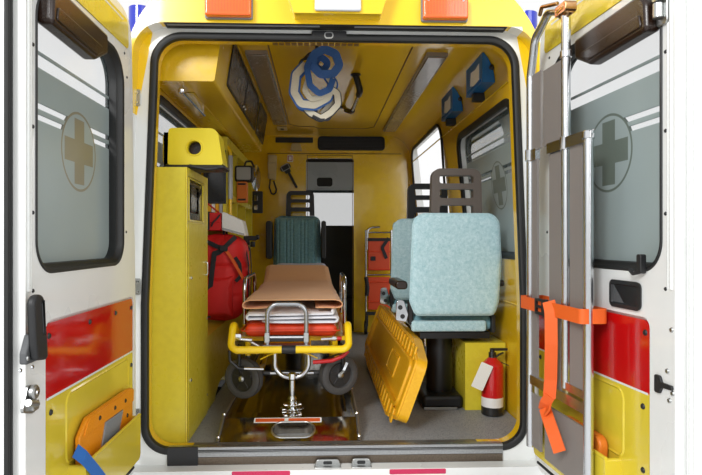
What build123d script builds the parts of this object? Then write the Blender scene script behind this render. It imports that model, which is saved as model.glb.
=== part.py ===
"""A high-roof van ambulance with its rear doors and side door open. Millimetres, +Y forward, +X to the
vehicle's right, +Z up, the ground at Z = 0. Lengths along the van are stated from the plane of the rear
door seal and turned into Y by at()."""

import os
from math import cos, radians, sin

from build123d import *

os.makedirs("parts", exist_ok=True)

# Driving dimensions of the body
REAR_SEAL_Y = -2306.75
REAR_FACE = -70.0
FRAME_DEPTH = 80.0
BULKHEAD = 3000.0
CAB_START = 3060.0
FLOOR = 700.0
CEILING = 2550.0
SIDE_TOP = 2420.0
SKIRT = 380.0
FRONT_SKIRT = 640.0
CAB_WALL = 50.0
INNER_WIDTH = 886.0
CAB_FLOOR = 600.0
FAR = 4000.0

# Axles and wheels
REAR_AXLE = 980.0
FRONT_AXLE = 4530.0
TYRE_RADIUS = 345.0
TYRE_WIDTH = 225.0
WHEEL_X = 815.0
ARCH_RADIUS = 420.0

# Rear doors
DOOR_HINGE_X = 858.0
DOOR_HINGE_S = -78.0
DOOR_THICK = 58.0
DOOR_GAP = 4.0
DOOR_BOTTOM = 662.0
LEFT_DOOR_OPEN = 90.8
RIGHT_DOOR_OPEN = 94.0
DOOR_STEP = 32.0

# Cab doors
PANEL_GAP = 6.0

# Furniture faces
LEFT_FACE = -640.0
WHEEL_BOX_FACE = 672.0
WHEEL_BOX_TOP = 1044.0
LOW_CABINET_TOP = 1080.0
TALL_CABINET_TOP = 1880.0
SEAT_LENGTHS = (460.0, 1220.0)
SEAT_X = 608.0
HEAD_SEAT_X = -258.0

# Stretcher
STRETCHER_X = -207.0
STRETCHER_WIDTH = 575.0
STRETCHER_RAIL_Z = 1090.0
STRETCHER_TUBE = 17.0
STRETCHER_START = 250.0
STRETCHER_END = 2150.0


def at(length):
    """The Y of a length measured forward from the rear seal plane."""
    return REAR_SEAL_Y + length


def along(rows):
    """Side view rows of (length, height, corner radius) as rows of (Y, Z, corner radius)."""
    return [(at(length), height, radius) for length, height, radius in rows]


def both_sides(rows):
    """A closed symmetrical outline from its right-hand half, rows of (half width, height, corner radius)."""
    return rows + [(-x, z, r) for x, z, r in reversed(rows) if x]


def outline(rows):
    """The closed edge loop through rows of (across, up, corner radius)."""
    with BuildLine() as loop:
        FilletPolyline(*[row[:2] for row in rows], radius=[row[2] for row in rows], close=True)
    return loop.edges()


def slab(rows, plane, depth, both=False):
    """A solid of one outline, raised from a plane."""
    with BuildPart() as made:
        with BuildSketch(plane):
            make_face(outline(rows))
        extrude(amount=depth, both=both)
    return made.part


def across(length):
    """The plane across the van at a length, looking back along it, so that X is right and Y is up."""
    return Plane.XZ.offset(-at(length))


def cross_slab(rows, start, end):
    """A solid of one cross-section between two lengths."""
    return slab(rows, across(start), -(end - start))


def side_slab(rows, x_low, x_high):
    """A solid of one side view outline between two values of X."""
    return slab(along(rows), Plane.YZ.offset(x_low), x_high - x_low)


def block(x, length, z):
    """A box from three pairs of limits: X, length along the van and Z."""
    with BuildPart() as made:
        with Locations(((x[0] + x[1]) / 2, at((length[0] + length[1]) / 2), (z[0] + z[1]) / 2)):
            Box(x[1] - x[0], length[1] - length[0], z[1] - z[0])
    return made.part


def soft_block(x, length, z, radius):
    """A box with all its edges rounded."""
    with BuildPart() as made:
        add(block(x, length, z))
        fillet(made.edges(), radius=radius)
    return made.part


def disc(x, length, z, radius, thick):
    """A cylinder along X, centred on a point."""
    with BuildPart() as made:
        with Locations(Location((x, at(length), z), (0, 90, 0))):
            Cylinder(radius, thick)
    return made.part


def castor(x, length, z, turn):
    """A wheel swivelled about its upright by a turn in degrees."""
    with BuildPart() as made:
        with Locations(Location((x, at(length), z), (0, 0, turn)) * Location((0, 0, 0), (0, 90, 0))):
            Cylinder(95, 40)
    return made.part


def post(x, length, z_low, z_high, radius):
    """An upright cylinder."""
    with BuildPart() as made:
        with Locations((x, at(length), z_low)):
            Cylinder(radius, z_high - z_low, align=(Align.CENTER, Align.CENTER, Align.MIN))
    return made.part


def tube(points, radius, bends=0):
    """A round bar along points of (x, length, z), with bends of one radius."""
    places = [(x, at(length), z) for x, length, z in points]
    with BuildPart() as made:
        with BuildLine() as path:
            if bends:
                FilletPolyline(*places, radius=bends)
            else:
                Polyline(*places)
        with BuildSketch(Plane(origin=path.line @ 0, z_dir=path.line % 0)):
            Circle(radius)
        sweep(path=path.line)
    return made.part


def join(*shapes):
    """One part of several shapes."""
    with BuildPart() as made:
        for shape in shapes:
            add(shape)
    return made.part


def cut(shape, *tools):
    """A shape with tools taken away."""
    with BuildPart() as made:
        add(shape)
        for tool in tools:
            add(tool, mode=Mode.SUBTRACT)
    return made.part


def keep(shape, *regions):
    """What lies in a shape and in every region."""
    with BuildPart() as made:
        add(shape)
        for region in regions:
            add(region, mode=Mode.INTERSECT)
    return made.part


def mirrored(shape):
    """A shape's twin on the other side of the van."""
    with BuildPart() as made:
        add(shape)
        mirror(about=Plane.YZ, mode=Mode.REPLACE)
    return made.part


def save(shape, name):
    """Writes one node."""
    shape.label = name
    export_step(shape, f"parts/{name}.step")


# The body is the common part of a cross-section, a side view and a plan, each drawn past the body's ends
# Columns: half width, height, corner radius
BODY_SECTION = [
    (905, -400, 0),
    (905, 380, 0),
    (966, 600, 200),
    (966, 1200, 2500),
    (800, 2660, 450),
    (0, 2700, 0),
]
# Columns: length, height, corner radius
BODY_SIDE = [
    (-1000, -500, 0),
    (-1000, 2716, 0),
    (3630, 2716, 420),
    (4170, 2190, 150),
    (4870, 1270, 60),
    (5380, 1030, 130),
    (5452, 700, 60),
    (5440, -500, 0),
]
# Columns: half width, length, corner radius
BODY_PLAN = [
    (968, -1100, 0),
    (968, 4550, 1500),
    (890, 5200, 300),
    (700, 5430, 220),
    (0, 5470, 0),
]


def hull(inset):
    """The body's outer form, shrunk by an inset or grown by a negative one."""
    with BuildPart() as form:
        with BuildSketch(across(-900)):
            make_face(outline(both_sides(BODY_SECTION)))
            offset(amount=-inset, kind=Kind.INTERSECTION, mode=Mode.REPLACE) if inset else None
        extrude(amount=-7000)
        with BuildSketch(Plane.YZ.offset(-1200)):
            make_face(outline(along(BODY_SIDE)))
            offset(amount=-inset, kind=Kind.INTERSECTION, mode=Mode.REPLACE) if inset else None
        extrude(amount=2400, mode=Mode.INTERSECT)
        with BuildSketch(Plane.XY.offset(-600)):
            make_face(outline(both_sides([(x, at(length), r) for x, length, r in BODY_PLAN])))
            offset(amount=-inset, kind=Kind.INTERSECTION, mode=Mode.REPLACE) if inset else None
        extrude(amount=3600, mode=Mode.INTERSECT)
    return form.part


outer_hull = hull(0)
inner_hull = hull(CAB_WALL)
bumper_hull = hull(-24)
glass_shell = cut(hull(14), hull(20))

# The room's own section: upright walls that lean in above the waist, and a flat ceiling


def room_section(inset):
    """The room's outline, shrunk by an inset where furniture has to stay clear of the lining."""
    side = INNER_WIDTH - inset
    return both_sides([(side, -500, 0), (side, 1250, 0), (762 - inset, CEILING - inset, 210 - inset)])


room = cross_slab(room_section(0), -500, CAB_START)
lined_room = cross_slab(room_section(4), -500, BULKHEAD - 4)

# Openings, rows of (across, height, corner radius)
REAR_OPENING = both_sides([(780, 712, 95), (780, 1300, 0), (738, 2400, 110)])
DOOR_RIGHT_OUTLINE = [
    (DOOR_GAP, DOOR_BOTTOM, 4),
    (846, DOOR_BOTTOM, 60),
    (846, 1300, 0),
    (797, 2427, 110),
    (DOOR_GAP, 2427, 4),
]
DOOR_RECESS = both_sides([(854, 650, 66), (854, 1300, 0), (804, 2435, 118)])
DOOR_WINDOW = [(88, 1488, 80), (705, 1488, 80), (705, 2245, 110), (88, 2245, 100)]
SIDE_WINDOW = [(200, 1500, 80), (200, 2205, 80), (1190, 2205, 80), (1190, 1500, 80)]
SIDE_DOORWAY = [(1610, 600, 60), (1610, 2395, 100), (2870, 2395, 100), (2870, 600, 60)]
SLIDING_WINDOW = [(1840, 1480, 90), (1840, 2200, 90), (2690, 2200, 90), (2690, 1480, 90)]
CAB_DOORWAY = [(3320, 470, 60), (3320, 2110, 70), (4060, 2110, 60), (4420, 1640, 120), (4420, 470, 0)]
CAB_WINDOW = [(3410, 1330, 60), (3410, 2035, 60), (4025, 2035, 60), (4330, 1630, 90), (4330, 1330, 60)]
WINDSCREEN = [(735, 1330, 90), (650, 2140, 90), (-650, 2140, 90), (-735, 1330, 90)]

arches = join(*[
    disc(side * 930, length, TYRE_RADIUS, ARCH_RADIUS, 600)
    for side in (-1, 1)
    for length in (REAR_AXLE, FRONT_AXLE)
])
rear_region = block((-1200, 1200), (REAR_FACE, FRAME_DEPTH), (SKIRT, 3000))
side_region = block((0, 1200), (FRAME_DEPTH, CAB_START), (SKIRT, SIDE_TOP))
roof_region = block((-1200, 1200), (FRAME_DEPTH, 5000), (SIDE_TOP, 3000))
room_shell = cut(outer_hull, room)
cab_shell = cut(outer_hull, inner_hull)


def rear_frame():
    """The ring round the rear doorway: pillars, header and sill, with the step that the doors close into."""
    return cut(
        keep(outer_hull, rear_region),
        cross_slab(REAR_OPENING, -200, 300),
        cross_slab(DOOR_RECESS, REAR_FACE - 10, 0),
        block((-INNER_WIDTH, INNER_WIDTH), (20, 300), (SKIRT - 10, 702)),
    )


def side_panel(doorway):
    """The right-hand side of the load space, with its window and its wheel arch."""
    openings = [side_slab(SIDE_WINDOW, 600, 1200), arches]
    if doorway:
        openings.append(side_slab(SIDE_DOORWAY, 600, 1200))
    return cut(keep(room_shell, side_region), *openings)


def roof():
    """The high roof over the load space and the cab, with its sloping front."""
    load_part = keep(room_shell, block((-1200, 1200), (FRAME_DEPTH, CAB_START), (SIDE_TOP, 3000)))
    cab_part = keep(cab_shell, block((-1200, 1200), (CAB_START, 5000), (SIDE_TOP, 3000)))
    return join(load_part, cab_part)


def floor():
    """The floor plates, their chassis rails and cross members."""
    plates = [
        block((-880, 880), (22, CAB_START), (640, FLOOR)),
        block((-880, 880), (CAB_START, 4600), (560, CAB_FLOOR)),
        block((-880, 880), (CAB_START - 10, CAB_START + 20), (560, FLOOR)),
    ]
    rails = [block((side * 450 - 40, side * 450 + 40), (30, CAB_START), (500, 645)) for side in (-1, 1)]
    rails += [block((side * 450 - 40, side * 450 + 40), (CAB_START - 10, 4590), (500, 565)) for side in (-1, 1)]
    members = [block((-700, 700), (length, length + 80), (540, 645)) for length in (200, 1500, 2400)]
    members.append(block((-700, 700), (3300, 3380), (520, 565)))
    houses = [disc(side * 930, REAR_AXLE, TYRE_RADIUS, ARCH_RADIUS, 560) for side in (-1, 1)]
    front = [disc(side * 930, FRONT_AXLE, TYRE_RADIUS, 470, 900) for side in (-1, 1)]
    return cut(join(*plates, *rails, *members), *houses, *front)


def bulkhead():
    """The partition behind the cab with its walk-through opening."""
    wall = keep(room, block((-1200, 1200), (BULKHEAD, CAB_START - 12), (FLOOR + 1, CEILING + 50)))
    doorway = [(-200, 0, 0), (-200, 2340, 25), (250, 2340, 25), (250, 0, 0)]
    return cut(wall, cross_slab(doorway, BULKHEAD - 50, CAB_START + 50))


def cab_body():
    """Wings, pillars, scuttle and front panel of the cab, with the engine bay's firewall and arches."""
    skin = keep(cab_shell, block((-1200, 1200), (CAB_START, 5600), (SKIRT, SIDE_TOP)))
    firewall = keep(hull(55), block((-1200, 1200), (4600, 4640), (480, 1240)))
    shelf = keep(hull(40), block((-1200, 1200), (4600, 4860), (1240, 1262)))
    arch_liner = cut(
        disc(0, FRONT_AXLE, TYRE_RADIUS, 470, 1860),
        disc(0, FRONT_AXLE, TYRE_RADIUS, 460, 1900),
        block((-520, 520), (3900, 5200), (-200, 900)),
        block((-1200, 1200), (3900, 5200), (-200, SKIRT)),
    )
    return cut(
        join(skin, firewall, shelf, keep(arch_liner, inner_hull)),
        *[disc(side * 930, FRONT_AXLE, TYRE_RADIUS, 460, 700) for side in (-1, 1)],
        side_slab(CAB_DOORWAY, -1200, 1200),
        cross_slab(WINDSCREEN, 3900, 5100),
        block((-702, 702), (4888, 5600), (958, 1500)),
        block((-1200, 1200), (4992, 5600), (SKIRT - 10, FRONT_SKIRT)),
        block((-430, 430), (5150, 5600), (735, 945)),
        *[block((min(a, b), max(a, b)), (5100, 5600), (750, 950)) for a, b in ((450, 900), (-450, -900))],
    )


def cab_door():
    """The right-hand cab door with its window frame, pull handle and mirror."""
    leaf = keep(cab_shell, side_slab([(s + (3 if s < 4000 else -3) * 2, z, max(r - 6, 0)) for s, z, r in CAB_DOORWAY],
                                     500, 1200))
    leaf = cut(leaf, side_slab(CAB_WINDOW, 500, 1200), disc(930, FRONT_AXLE, TYRE_RADIUS, 480, 700),
               block((0, 1200), (3000, 5000), (0, 480)), block((0, 1200), (3000, 5000), (2104, 2300)))
    arms = [block((905, 1010), (4344, 4374), (z, z + 25)) for z in (1400, 1600)]
    head = soft_block((990, 1190), (4310, 4390), (1350, 1720), 30)
    handle = soft_block((962, 992), (3400, 3560), (1130, 1165), 10)
    return join(leaf, *arms, head, handle)


def bonnet():
    """The lid over the engine."""
    lid = cut(outer_hull, hull(30))
    return keep(lid, block((-696, 696), (4894, 5600), (964, 1500)))


def grille():
    """The slatted intake between the lamps."""
    plate = keep(cut(hull(10), hull(45)), block((-424, 424), (5150, 5600), (740, 940)))
    slots = [block((-395, 395), (5100, 5600), (z, z + 24)) for z in (765, 806, 847, 888)]
    return cut(plate, *slots)


def headlamps():
    """Both headlamp units, flush with the nose."""
    unit = keep(cut(hull(3), hull(70)), block((456, 894), (5106, 5600), (756, 944)))
    return join(unit, mirrored(unit))


def front_bumper():
    """The moulded bumper across the nose with its lower intake."""
    bar = keep(cut(bumper_hull, hull(60)), block((-1200, 1200), (4997, 5600), (290, FRONT_SKIRT - 6)))
    intake = block((-380, 380), (5150, 5600), (370, 450))
    arch = [disc(side * 930, FRONT_AXLE, TYRE_RADIUS, 462, 800) for side in (-1, 1)]
    eye = cut(block((250, 290), (5400, 5548), (318, 362)), disc(270, 5520, 340, 14, 80))
    return join(cut(bar, intake, *arch), eye)


def rear_bumper():
    """The step bumper under the doors, with its tow eye."""
    step = soft_block((-930, 930), (-165, -74), (395, 560), 22)
    brackets = [block((side * 450 - 30, side * 450 + 30), (-90, -71), (505, 550)) for side in (-1, 1)]
    plate = block((-260, 260), (-172, -160), (420, 540))
    eye = cut(block((-20, 20), (-215, -120), (440, 500)), disc(0, -190, 470, 16, 80))
    return join(step, *brackets, plate, eye)


def tail_lamps():
    """The upright lamp clusters on the rear pillars."""
    unit = soft_block((880, 950), (-79, -66), (760, 1110), 5)
    unit = cut(unit, block((800, 1000), (REAR_FACE, 0), (0, 2000)))
    return join(unit, mirrored(unit))


def roof_lamps():
    """Two amber flashers and a work lamp over the rear doors, blue lamps at the roof's corners."""
    amber = [soft_block((x - 90, x + 90), (-112, REAR_FACE), (2450, 2541), 8) for x in (-430, 430)]
    work = soft_block((-90, 90), (-158, -140), (2456, 2547), 8)
    hood_rows = [(-170, 2451, 6), (170, 2451, 6), (215, 2589, 6), (-215, 2589, 6)]
    hood = cross_slab(hood_rows, -140, REAR_FACE)
    return join(*amber, work, hood)


def beacons():
    """The front light bar and the rear corner beacons."""
    bar = soft_block((-560, 560), (3060, 3330), (2712, 2830), 40)
    feet = [block((x - 60, x + 60), (3150, 3250), (2680, 2730)) for x in (-400, 400)]
    corners = []
    for side in (-1, 1):
        corners.append(post(side * 862, 200, 2395, 2592, 52))
        corners.append(block((min(side * 730, side * 860), max(side * 730, side * 860)), (170, 230), (2397, 2425)))
    return cut(join(bar, *feet, *corners), hull(-1))


def windows():
    """The fixed panes of the load space."""
    pane = keep(glass_shell, side_slab([(s, z, r) for s, z, r in SIDE_WINDOW], 600, 1200))
    return join(pane, mirrored(pane))


SLIDE_BACK = 1290.0
SLIDE_OUT = 62.0


def sliding_door():
    """The side door, slid back along the body to its open stop, with its outside rail and arm."""
    rows = [(1616, 606, 54), (1616, 2389, 94), (2864, 2389, 94), (2864, 606, 54)]
    leaf = keep(room_shell, side_slab(rows, 600, 1200))
    leaf = keep(leaf, cut(outer_hull, hull(56)))
    leaf = cut(leaf, side_slab(SLIDING_WINDOW, 600, 1200))
    handle = soft_block((960, 985), (2640, 2800), (1130, 1165), 8)
    return (join(leaf, handle)).translate((SLIDE_OUT + 8, -SLIDE_BACK, 0))


def sliding_rails():
    """The waist rail that the side door runs on, and its carrier."""
    rail = block((963, 980), (330, 1600), (1225, 1250))
    carrier = block((950, 1000), (330, 410), (1195, 1222))
    return join(cut(rail, hull(2)), keep(carrier, cut(hull(-40), outer_hull)))


def rear_door(side):
    """One rear door, closed: a thick leaf with its window cut, a pressed field and its latch lever."""
    leaf = cross_slab(DOOR_RIGHT_OUTLINE, REAR_FACE, REAR_FACE + DOOR_THICK)
    recess = [(133, 712, 40), (824, 712, 40), (824, 1353, 30), (133, 1353, 30)]
    return cut(
        leaf,
        block((0, DOOR_STEP), (REAR_FACE + 20, 100), (600, 2600)),
        cross_slab(DOOR_WINDOW, -100, 100),
        cross_slab(recess, REAR_FACE + DOOR_THICK - 12, 100),
    )


def rear_door_trim():
    """The screwed-on lining of a rear door's lower field, with its stowage pocket."""
    inner = REAR_FACE + DOOR_THICK
    board_rows = [(140, 720, 32), (817, 720, 32), (817, 1345, 22), (140, 1345, 22)]
    board = cross_slab(board_rows, inner - 12, inner - 2)
    pocket = cut(
        cross_slab([(268, 752, 20), (752, 752, 20), (752, 912, 8), (268, 912, 8)], inner - 12, inner + 50),
        cross_slab([(280, 764, 8), (740, 764, 8), (740, 1000, 4), (280, 1000, 4)], inner - 2, inner + 42),
    )
    return join(board, pocket)


def rear_door_glass():
    """The pane of a rear door."""
    rows = [(x + (1 if x < 400 else -1), z + (1 if z < 1700 else -1), max(r - 1, 0)) for x, z, r in DOOR_WINDOW]
    return cross_slab(rows, REAR_FACE + 8, REAR_FACE + 14)


def hang(shape, side):
    """A right-hand rear door piece swung from closed to its place in the photograph's pose."""
    if side < 0:
        shape = mirrored(shape)
    angle = RIGHT_DOOR_OPEN if side > 0 else -LEFT_DOOR_OPEN
    return shape.rotate(Axis((side * DOOR_HINGE_X, at(DOOR_HINGE_S), 0), (0, 0, 1)), angle)


def scoop_stretcher():
    """The split aluminium stretcher stowed on the right-hand door, drawn with that door closed."""
    mid = REAR_FACE + DOOR_THICK + 74
    outer = tube([(318, mid, 760), (318, mid, 1893)], 15)
    frame = tube([(724, mid, 790), (724, mid, 2190), (684, mid, 2318), (575, mid, 2376), (456, mid, 2330),
                  (456, mid, 1080)], 15, 45)
    # Columns: low X, high X, low Z, high Z
    panels = [
        (662, 748, 1060, 1870),
        (450, 566, 1060, 1870),
        (348, 424, 1100, 1880),
        (632, 736, 1905, 2186),
        (450, 612, 1905, 2176),
        (314, 600, 790, 985),
        (634, 748, 800, 1000),
    ]
    plates = [block((low, high), (mid - 4, mid + 4), (bottom, top)) for low, high, bottom, top in panels]
    bars = [
        block((310, 570), (mid - 12, mid + 12), (1872, 1908)),
        block((664, 734), (mid - 9, mid + 9), (1866, 1908)),
        block((314, 734), (mid - 9, mid + 9), (1030, 1064)),
        block((314, 460), (mid - 9, mid + 9), (1076, 1102)),
    ]
    return join(outer, frame, *plates, *bars)


def stowage_strap():
    """The webbing round the scoop stretcher, drawn with the right-hand door closed."""
    near = REAR_FACE + DOOR_THICK
    return cut(
        block((292, 768), (near + 2, near + 97), (1312, 1360)),
        block((295, 765), (near + 5, near + 94), (1200, 1400)),
    )


def tall_cabinet():
    """The upright cabinet beside the left-hand doorway."""
    body = keep(block((-900, LEFT_FACE + 5), (90, 530), (FLOOR + 1, TALL_CABINET_TOP)), lined_room)
    niche = block((LEFT_FACE - 120, LEFT_FACE + 50), (118, 440), (1650, 1846))
    return cut(body, niche)


def low_cabinets():
    """The boxes over both rear wheels."""
    left = block((-880, LEFT_FACE), (532, 2100), (FLOOR + 1, LOW_CABINET_TOP))
    right = block((WHEEL_BOX_FACE, 880), (532, 1560), (FLOOR + 1, WHEEL_BOX_TOP))
    hollow = [disc(side * 930, REAR_AXLE, TYRE_RADIUS, ARCH_RADIUS + 2, 700) for side in (-1, 1)]
    return cut(join(left, right), *hollow)


def wall_unit():
    """The open shelf unit on the left-hand wall."""
    body = keep(block((-900, LEFT_FACE - 20), (1300, 2650), (LOW_CABINET_TOP + 420, 2230)), lined_room)
    bays = [
        block((-780, LEFT_FACE + 40), (start, start + 400), (z, z + 300))
        for start in (1330, 1770, 2210)
        for z in (1530, 1870)
    ]
    return cut(body, *bays)


def overhead_locker():
    """The long locker under the ceiling on the left."""
    rows = [(-900, 2252, 0), (-523, 2252, 12), (-470, 2600, 0), (-900, 2600, 0)]
    return keep(cross_slab(rows, 112, 2100), lined_room)


def seat_frame(x, back, facing, top):
    """A pedestal, base and slotted headrest, for a seat whose backrest starts at a length."""
    middle = back + facing * 240
    foot = soft_block((x - 150, x + 60), (middle - 150, middle + 150), (FLOOR + 1, FLOOR + 70), 20)
    column = post(x - 35, middle, FLOOR + 60, 1080, 69)
    pan = block((x - 168, x + 190), (middle - 170, middle + 200), (1068, 1098))
    x += 10
    rows = [(x - 130, top + 1, 0), (x - 124, top + 225, 45), (x + 124, top + 225, 45), (x + 130, top + 1, 0)]
    rest = cross_slab(rows, back + 30, back + 80)
    slots = [
        cross_slab([(x - 86, low, 12), (x - 86, high, 12), (x + 86, high, 12), (x + 86, low, 12)], back, back + 200)
        for low, high in ((top - 60, top + 40), (top + 76, top + 122), (top + 150, top + 190))
    ]
    return cut(join(foot, column, pan, rest), *slots)


def seat_cushions(x, back, facing, top):
    """A backrest and a seat cushion as plain rounded solids."""
    rest = soft_block((x - 235, x + 235), (back, back + 100), (1195, top), 30)
    ends = sorted((back + facing * 60 + (50 if facing < 0 else 0), back + facing * 500))
    seat = soft_block((x - 228, x + 228), (ends[0], ends[1]), (1100, 1192), 30)
    return rest, seat


def stretcher_platform():
    """The steel loading tray that the stretcher locks on."""
    rows = [(82, FLOOR + 1, 0), (250, FLOOR + 62, 10), (2260, FLOOR + 62, 10), (2260, FLOOR + 1, 0)]
    tray = side_slab(rows, STRETCHER_X - 296, STRETCHER_X + 304)
    pocket = block((STRETCHER_X - 255, STRETCHER_X + 263), (330, 2230), (FLOOR + 30, 900))
    with BuildPart() as slot:
        with BuildSketch(Plane.XY.offset(FLOOR)):
            with Locations((STRETCHER_X + 20, at(169))):
                SlotOverall(184, 90)
        extrude(amount=300)
    return cut(tray, pocket, slot.part)


def stretcher_frame():
    """The wheeled stretcher's tubes, folded legs, wheels and side rails."""
    half = STRETCHER_WIDTH / 2 - STRETCHER_TUBE
    left, right = STRETCHER_X - half, STRETCHER_X + half
    z = STRETCHER_RAIL_Z
    front = [(left, 1300, z), (left, 520, z), (left, 350, z + 84), (left, STRETCHER_START + 12, z - 22)]
    loop = join(
        tube(front + [(2 * STRETCHER_X - x, s, height) for x, s, height in front[::-1]], STRETCHER_TUBE, 36),
        tube([(left, 1300, z), (left, STRETCHER_END, z), (right, STRETCHER_END, z), (right, 1300, z)],
             STRETCHER_TUBE, 70),
    )
    deck = block((left, right), (420, 2080), (z - 8, z + 12))
    legs = []
    for x in (left + 60, right - 60):
        legs.append(tube([(x, 420, 930), (x, 1150, 800), (x, 1900, 930)], 14, 60))
        legs.append(tube([(x, 420, 932), (x, 420, z)], 14))
        legs.append(tube([(x, 1900, 932), (x, 1900, z)], 14))
    wheels = [disc(x, 1900, 915, 95, 40) for x in (left + 24, right - 24)]
    wheels += [castor(left + 44, 396, 908, 66), castor(right - 44, 396, 922, -66)]
    axles = [disc(STRETCHER_X, length, 925, 12, 2 * half - 50) for length in (420, 1900)]
    rails = []
    for x in (left - 2, right + 2):
        rails.append(tube([(x, 760, z), (x, 760, 1360), (x, 1240, 1360), (x, 1240, z)], 11, 60))
    handle = tube([(STRETCHER_X - 106, 296, z - 14), (STRETCHER_X - 106, 296, z + 182),
                   (STRETCHER_X + 74, 296, z + 182), (STRETCHER_X + 74, 296, z - 14)], 11, 50)
    bridge = block((STRETCHER_X - 126, STRETCHER_X + 94), (270, 430), (z - 22, z - 4))
    lock = post(STRETCHER_X + 5, 380, FLOOR + 31, 925, 14)
    hoop = tube([(STRETCHER_X - 78, 380, z - 10), (STRETCHER_X - 78, 380, 912), (STRETCHER_X + 83, 380, 912),
                 (STRETCHER_X + 83, 380, z - 10)], 12, 70)
    return join(loop, deck, *legs, *wheels, *axles, *rails, handle, bridge, lock, hoop)


def mattress():
    """The stretcher's pad as a plain solid."""
    return soft_block((STRETCHER_X - 240, STRETCHER_X + 240), (330, 2090), (STRETCHER_RAIL_Z + 13, 1180), 25)


def bedding():
    """The folded blanket, sheet and pillow as one plain solid."""
    blanket = soft_block((STRETCHER_X - 250, STRETCHER_X + 250), (340, 1500), (1182, 1290), 25)
    pillow = soft_block((STRETCHER_X - 262, STRETCHER_X + 200), (1520, 2080), (1182, 1415), 30)
    return join(blanket, pillow)


def spine_board():
    """The yellow board on its long edge beside the stretcher, leaning towards the seats."""
    lean = 20.0
    rows = [(150, 60, 40), (420, 0, 60), (1500, 0, 60), (1940, 60, 60), (1940, 392, 30), (1500, 400, 60),
            (420, 400, 60), (150, 340, 60)]
    board = side_slab(rows, 0, 46)
    field = side_slab([(260, 95, 40), (1830, 95, 40), (1830, 305, 40), (260, 305, 40)], -5, 14)
    grips = [
        side_slab([(s, z, 12), (s + 130, z, 12), (s + 130, z + 34, 12), (s, z + 34, 12)], -5, 80)
        for s in (480, 760, 1040, 1320)
        for z in (28, 338)
    ]
    shaped = cut(board, field, *grips)
    tipped = shaped.rotate(Axis.Y, lean)
    return tipped.translate((250, 0, FLOOR + 17))


def fire_extinguisher():
    """The extinguisher by the right-hand doorway."""
    x, length = 790.0, 462.0
    with BuildPart() as bottle:
        with BuildSketch(Plane.XZ):
            with BuildLine():
                FilletPolyline((0, 0), (54, 0), (54, 250), (18, 285), (18, 310), (0, 310), (0, 0),
                               radius=[0, 8, 26, 4, 2, 0], close=True)
            make_face()
        revolve(axis=Axis.Z)
    lever = block((x - 10, x + 75), (length - 8, length + 8), (FLOOR + 318, FLOOR + 330))
    valve = post(x, length, FLOOR + 305, FLOOR + 325, 12)
    return join(bottle.part.translate((x, at(length), FLOOR + 1)), lever, valve)


def suction_case():
    """The yellow case on top of the tall cabinet, with its round port."""
    rows = [(-735, 1899, 10), (-494, 1899, 10), (-519, 2060, 40), (-731, 2060, 16)]
    port = slab([(-652, 1941, 30), (-586, 1941, 30), (-586, 2007, 30), (-652, 2007, 30)], across(150), -60)
    base = block((-745, -500), (170, 300), (TALL_CABINET_TOP + 1, 1900))
    return join(cut(cross_slab(rows, 160, 290), port), base)


def stair_chair():
    """The folded carry chair by the bulkhead."""
    posts = [tube([(x, 2880, 760), (x, 2880, 1660)], 11) for x in (355, 590)]
    bars = [tube([(355, 2880, z), (590, 2880, z)], 9) for z in (900, 1250, 1640)]
    covers = [soft_block((372, 573), (2850, 2868), (z, z + 300), 7) for z in (930, 1290)]
    wheels = [disc(x, 2880, 762, 60, 24) for x in (352, 593)]
    return join(*posts, *bars, *covers, *wheels)


def hanging_harness():
    """The coil of straps and tubing on the ceiling hook, as a plain solid."""
    return soft_block((-205, 35), (400, 520), (2150, 2507), 40)


def ceiling_fittings():
    """The hook, the grab handle and the two lamp strips under the ceiling."""
    grab = tube([(140, 1000, CEILING), (170, 1000, 2450), (150, 1560, 2450), (98, 1830, CEILING)], 12, 30)
    hook = post(-85, 460, 2508, CEILING, 8)
    strips = [block((-455, -342), (600, 2400), (2530, CEILING)), block((488, 598), (600, 2660), (2530, CEILING))]
    return keep(join(grab, hook, *strips), cross_slab(room_section(0.5), 0, CAB_START))


def dispensers():
    """The two blue boxes on the right-hand wall."""
    return join(*[keep(block((716, 900), (start, start + 300), (2335, 2478)), lined_room) for start in (380, 1000)])


def dashboard():
    """The fascia with its column and wheel."""
    rows = [(4300, 1010, 40), (4320, 1180, 60), (4560, 1236, 20), (4596, 1236, 0), (4596, 900, 0), (4400, 900, 40)]
    fascia = side_slab(rows, -800, 800)
    centre = side_slab([(4280, 660, 20), (4250, 1060, 40), (4500, 1060, 0), (4500, 660, 0)], -150, 150)
    tilt = Plane(origin=(-420, at(4170), 1160), z_dir=(0, -0.62, 0.78))
    with BuildPart() as wheel:
        with BuildSketch(Plane(origin=tilt.origin, x_dir=(1, 0, 0), z_dir=tilt.z_dir)):
            Circle(205)
            Circle(178, mode=Mode.SUBTRACT)
            Rectangle(370, 36)
            Circle(55)
        extrude(amount=14, both=True)
    with BuildPart() as column:
        with BuildSketch(tilt):
            Circle(32)
        extrude(amount=-240)
    return join(fascia, centre, wheel.part, column.part)


def cab_seats():
    """Driver's seat and passenger bench in the cab."""
    solids = []
    for low, high, top in ((-720, -230, 1700), (-70, 820, 1716)):
        solids.append(soft_block((low, high), (3480, 3960), (960, 1090), 35))
        solids.append(soft_block((low + 10, high - 10), (3360, 3476), (1000, top), 35))
        solids.append(soft_block((high - 375, high - 115), (3380, 3460), (1720, 1890), 30))
        solids.append(block((low + 60, high - 60), (3500, 3900), (CAB_FLOOR + 1, 959)))
    return join(*solids)


def engine():
    """The engine and gearbox as one plain block."""
    return block((-260, 260), (4660, 5240), (430, 900))


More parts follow.
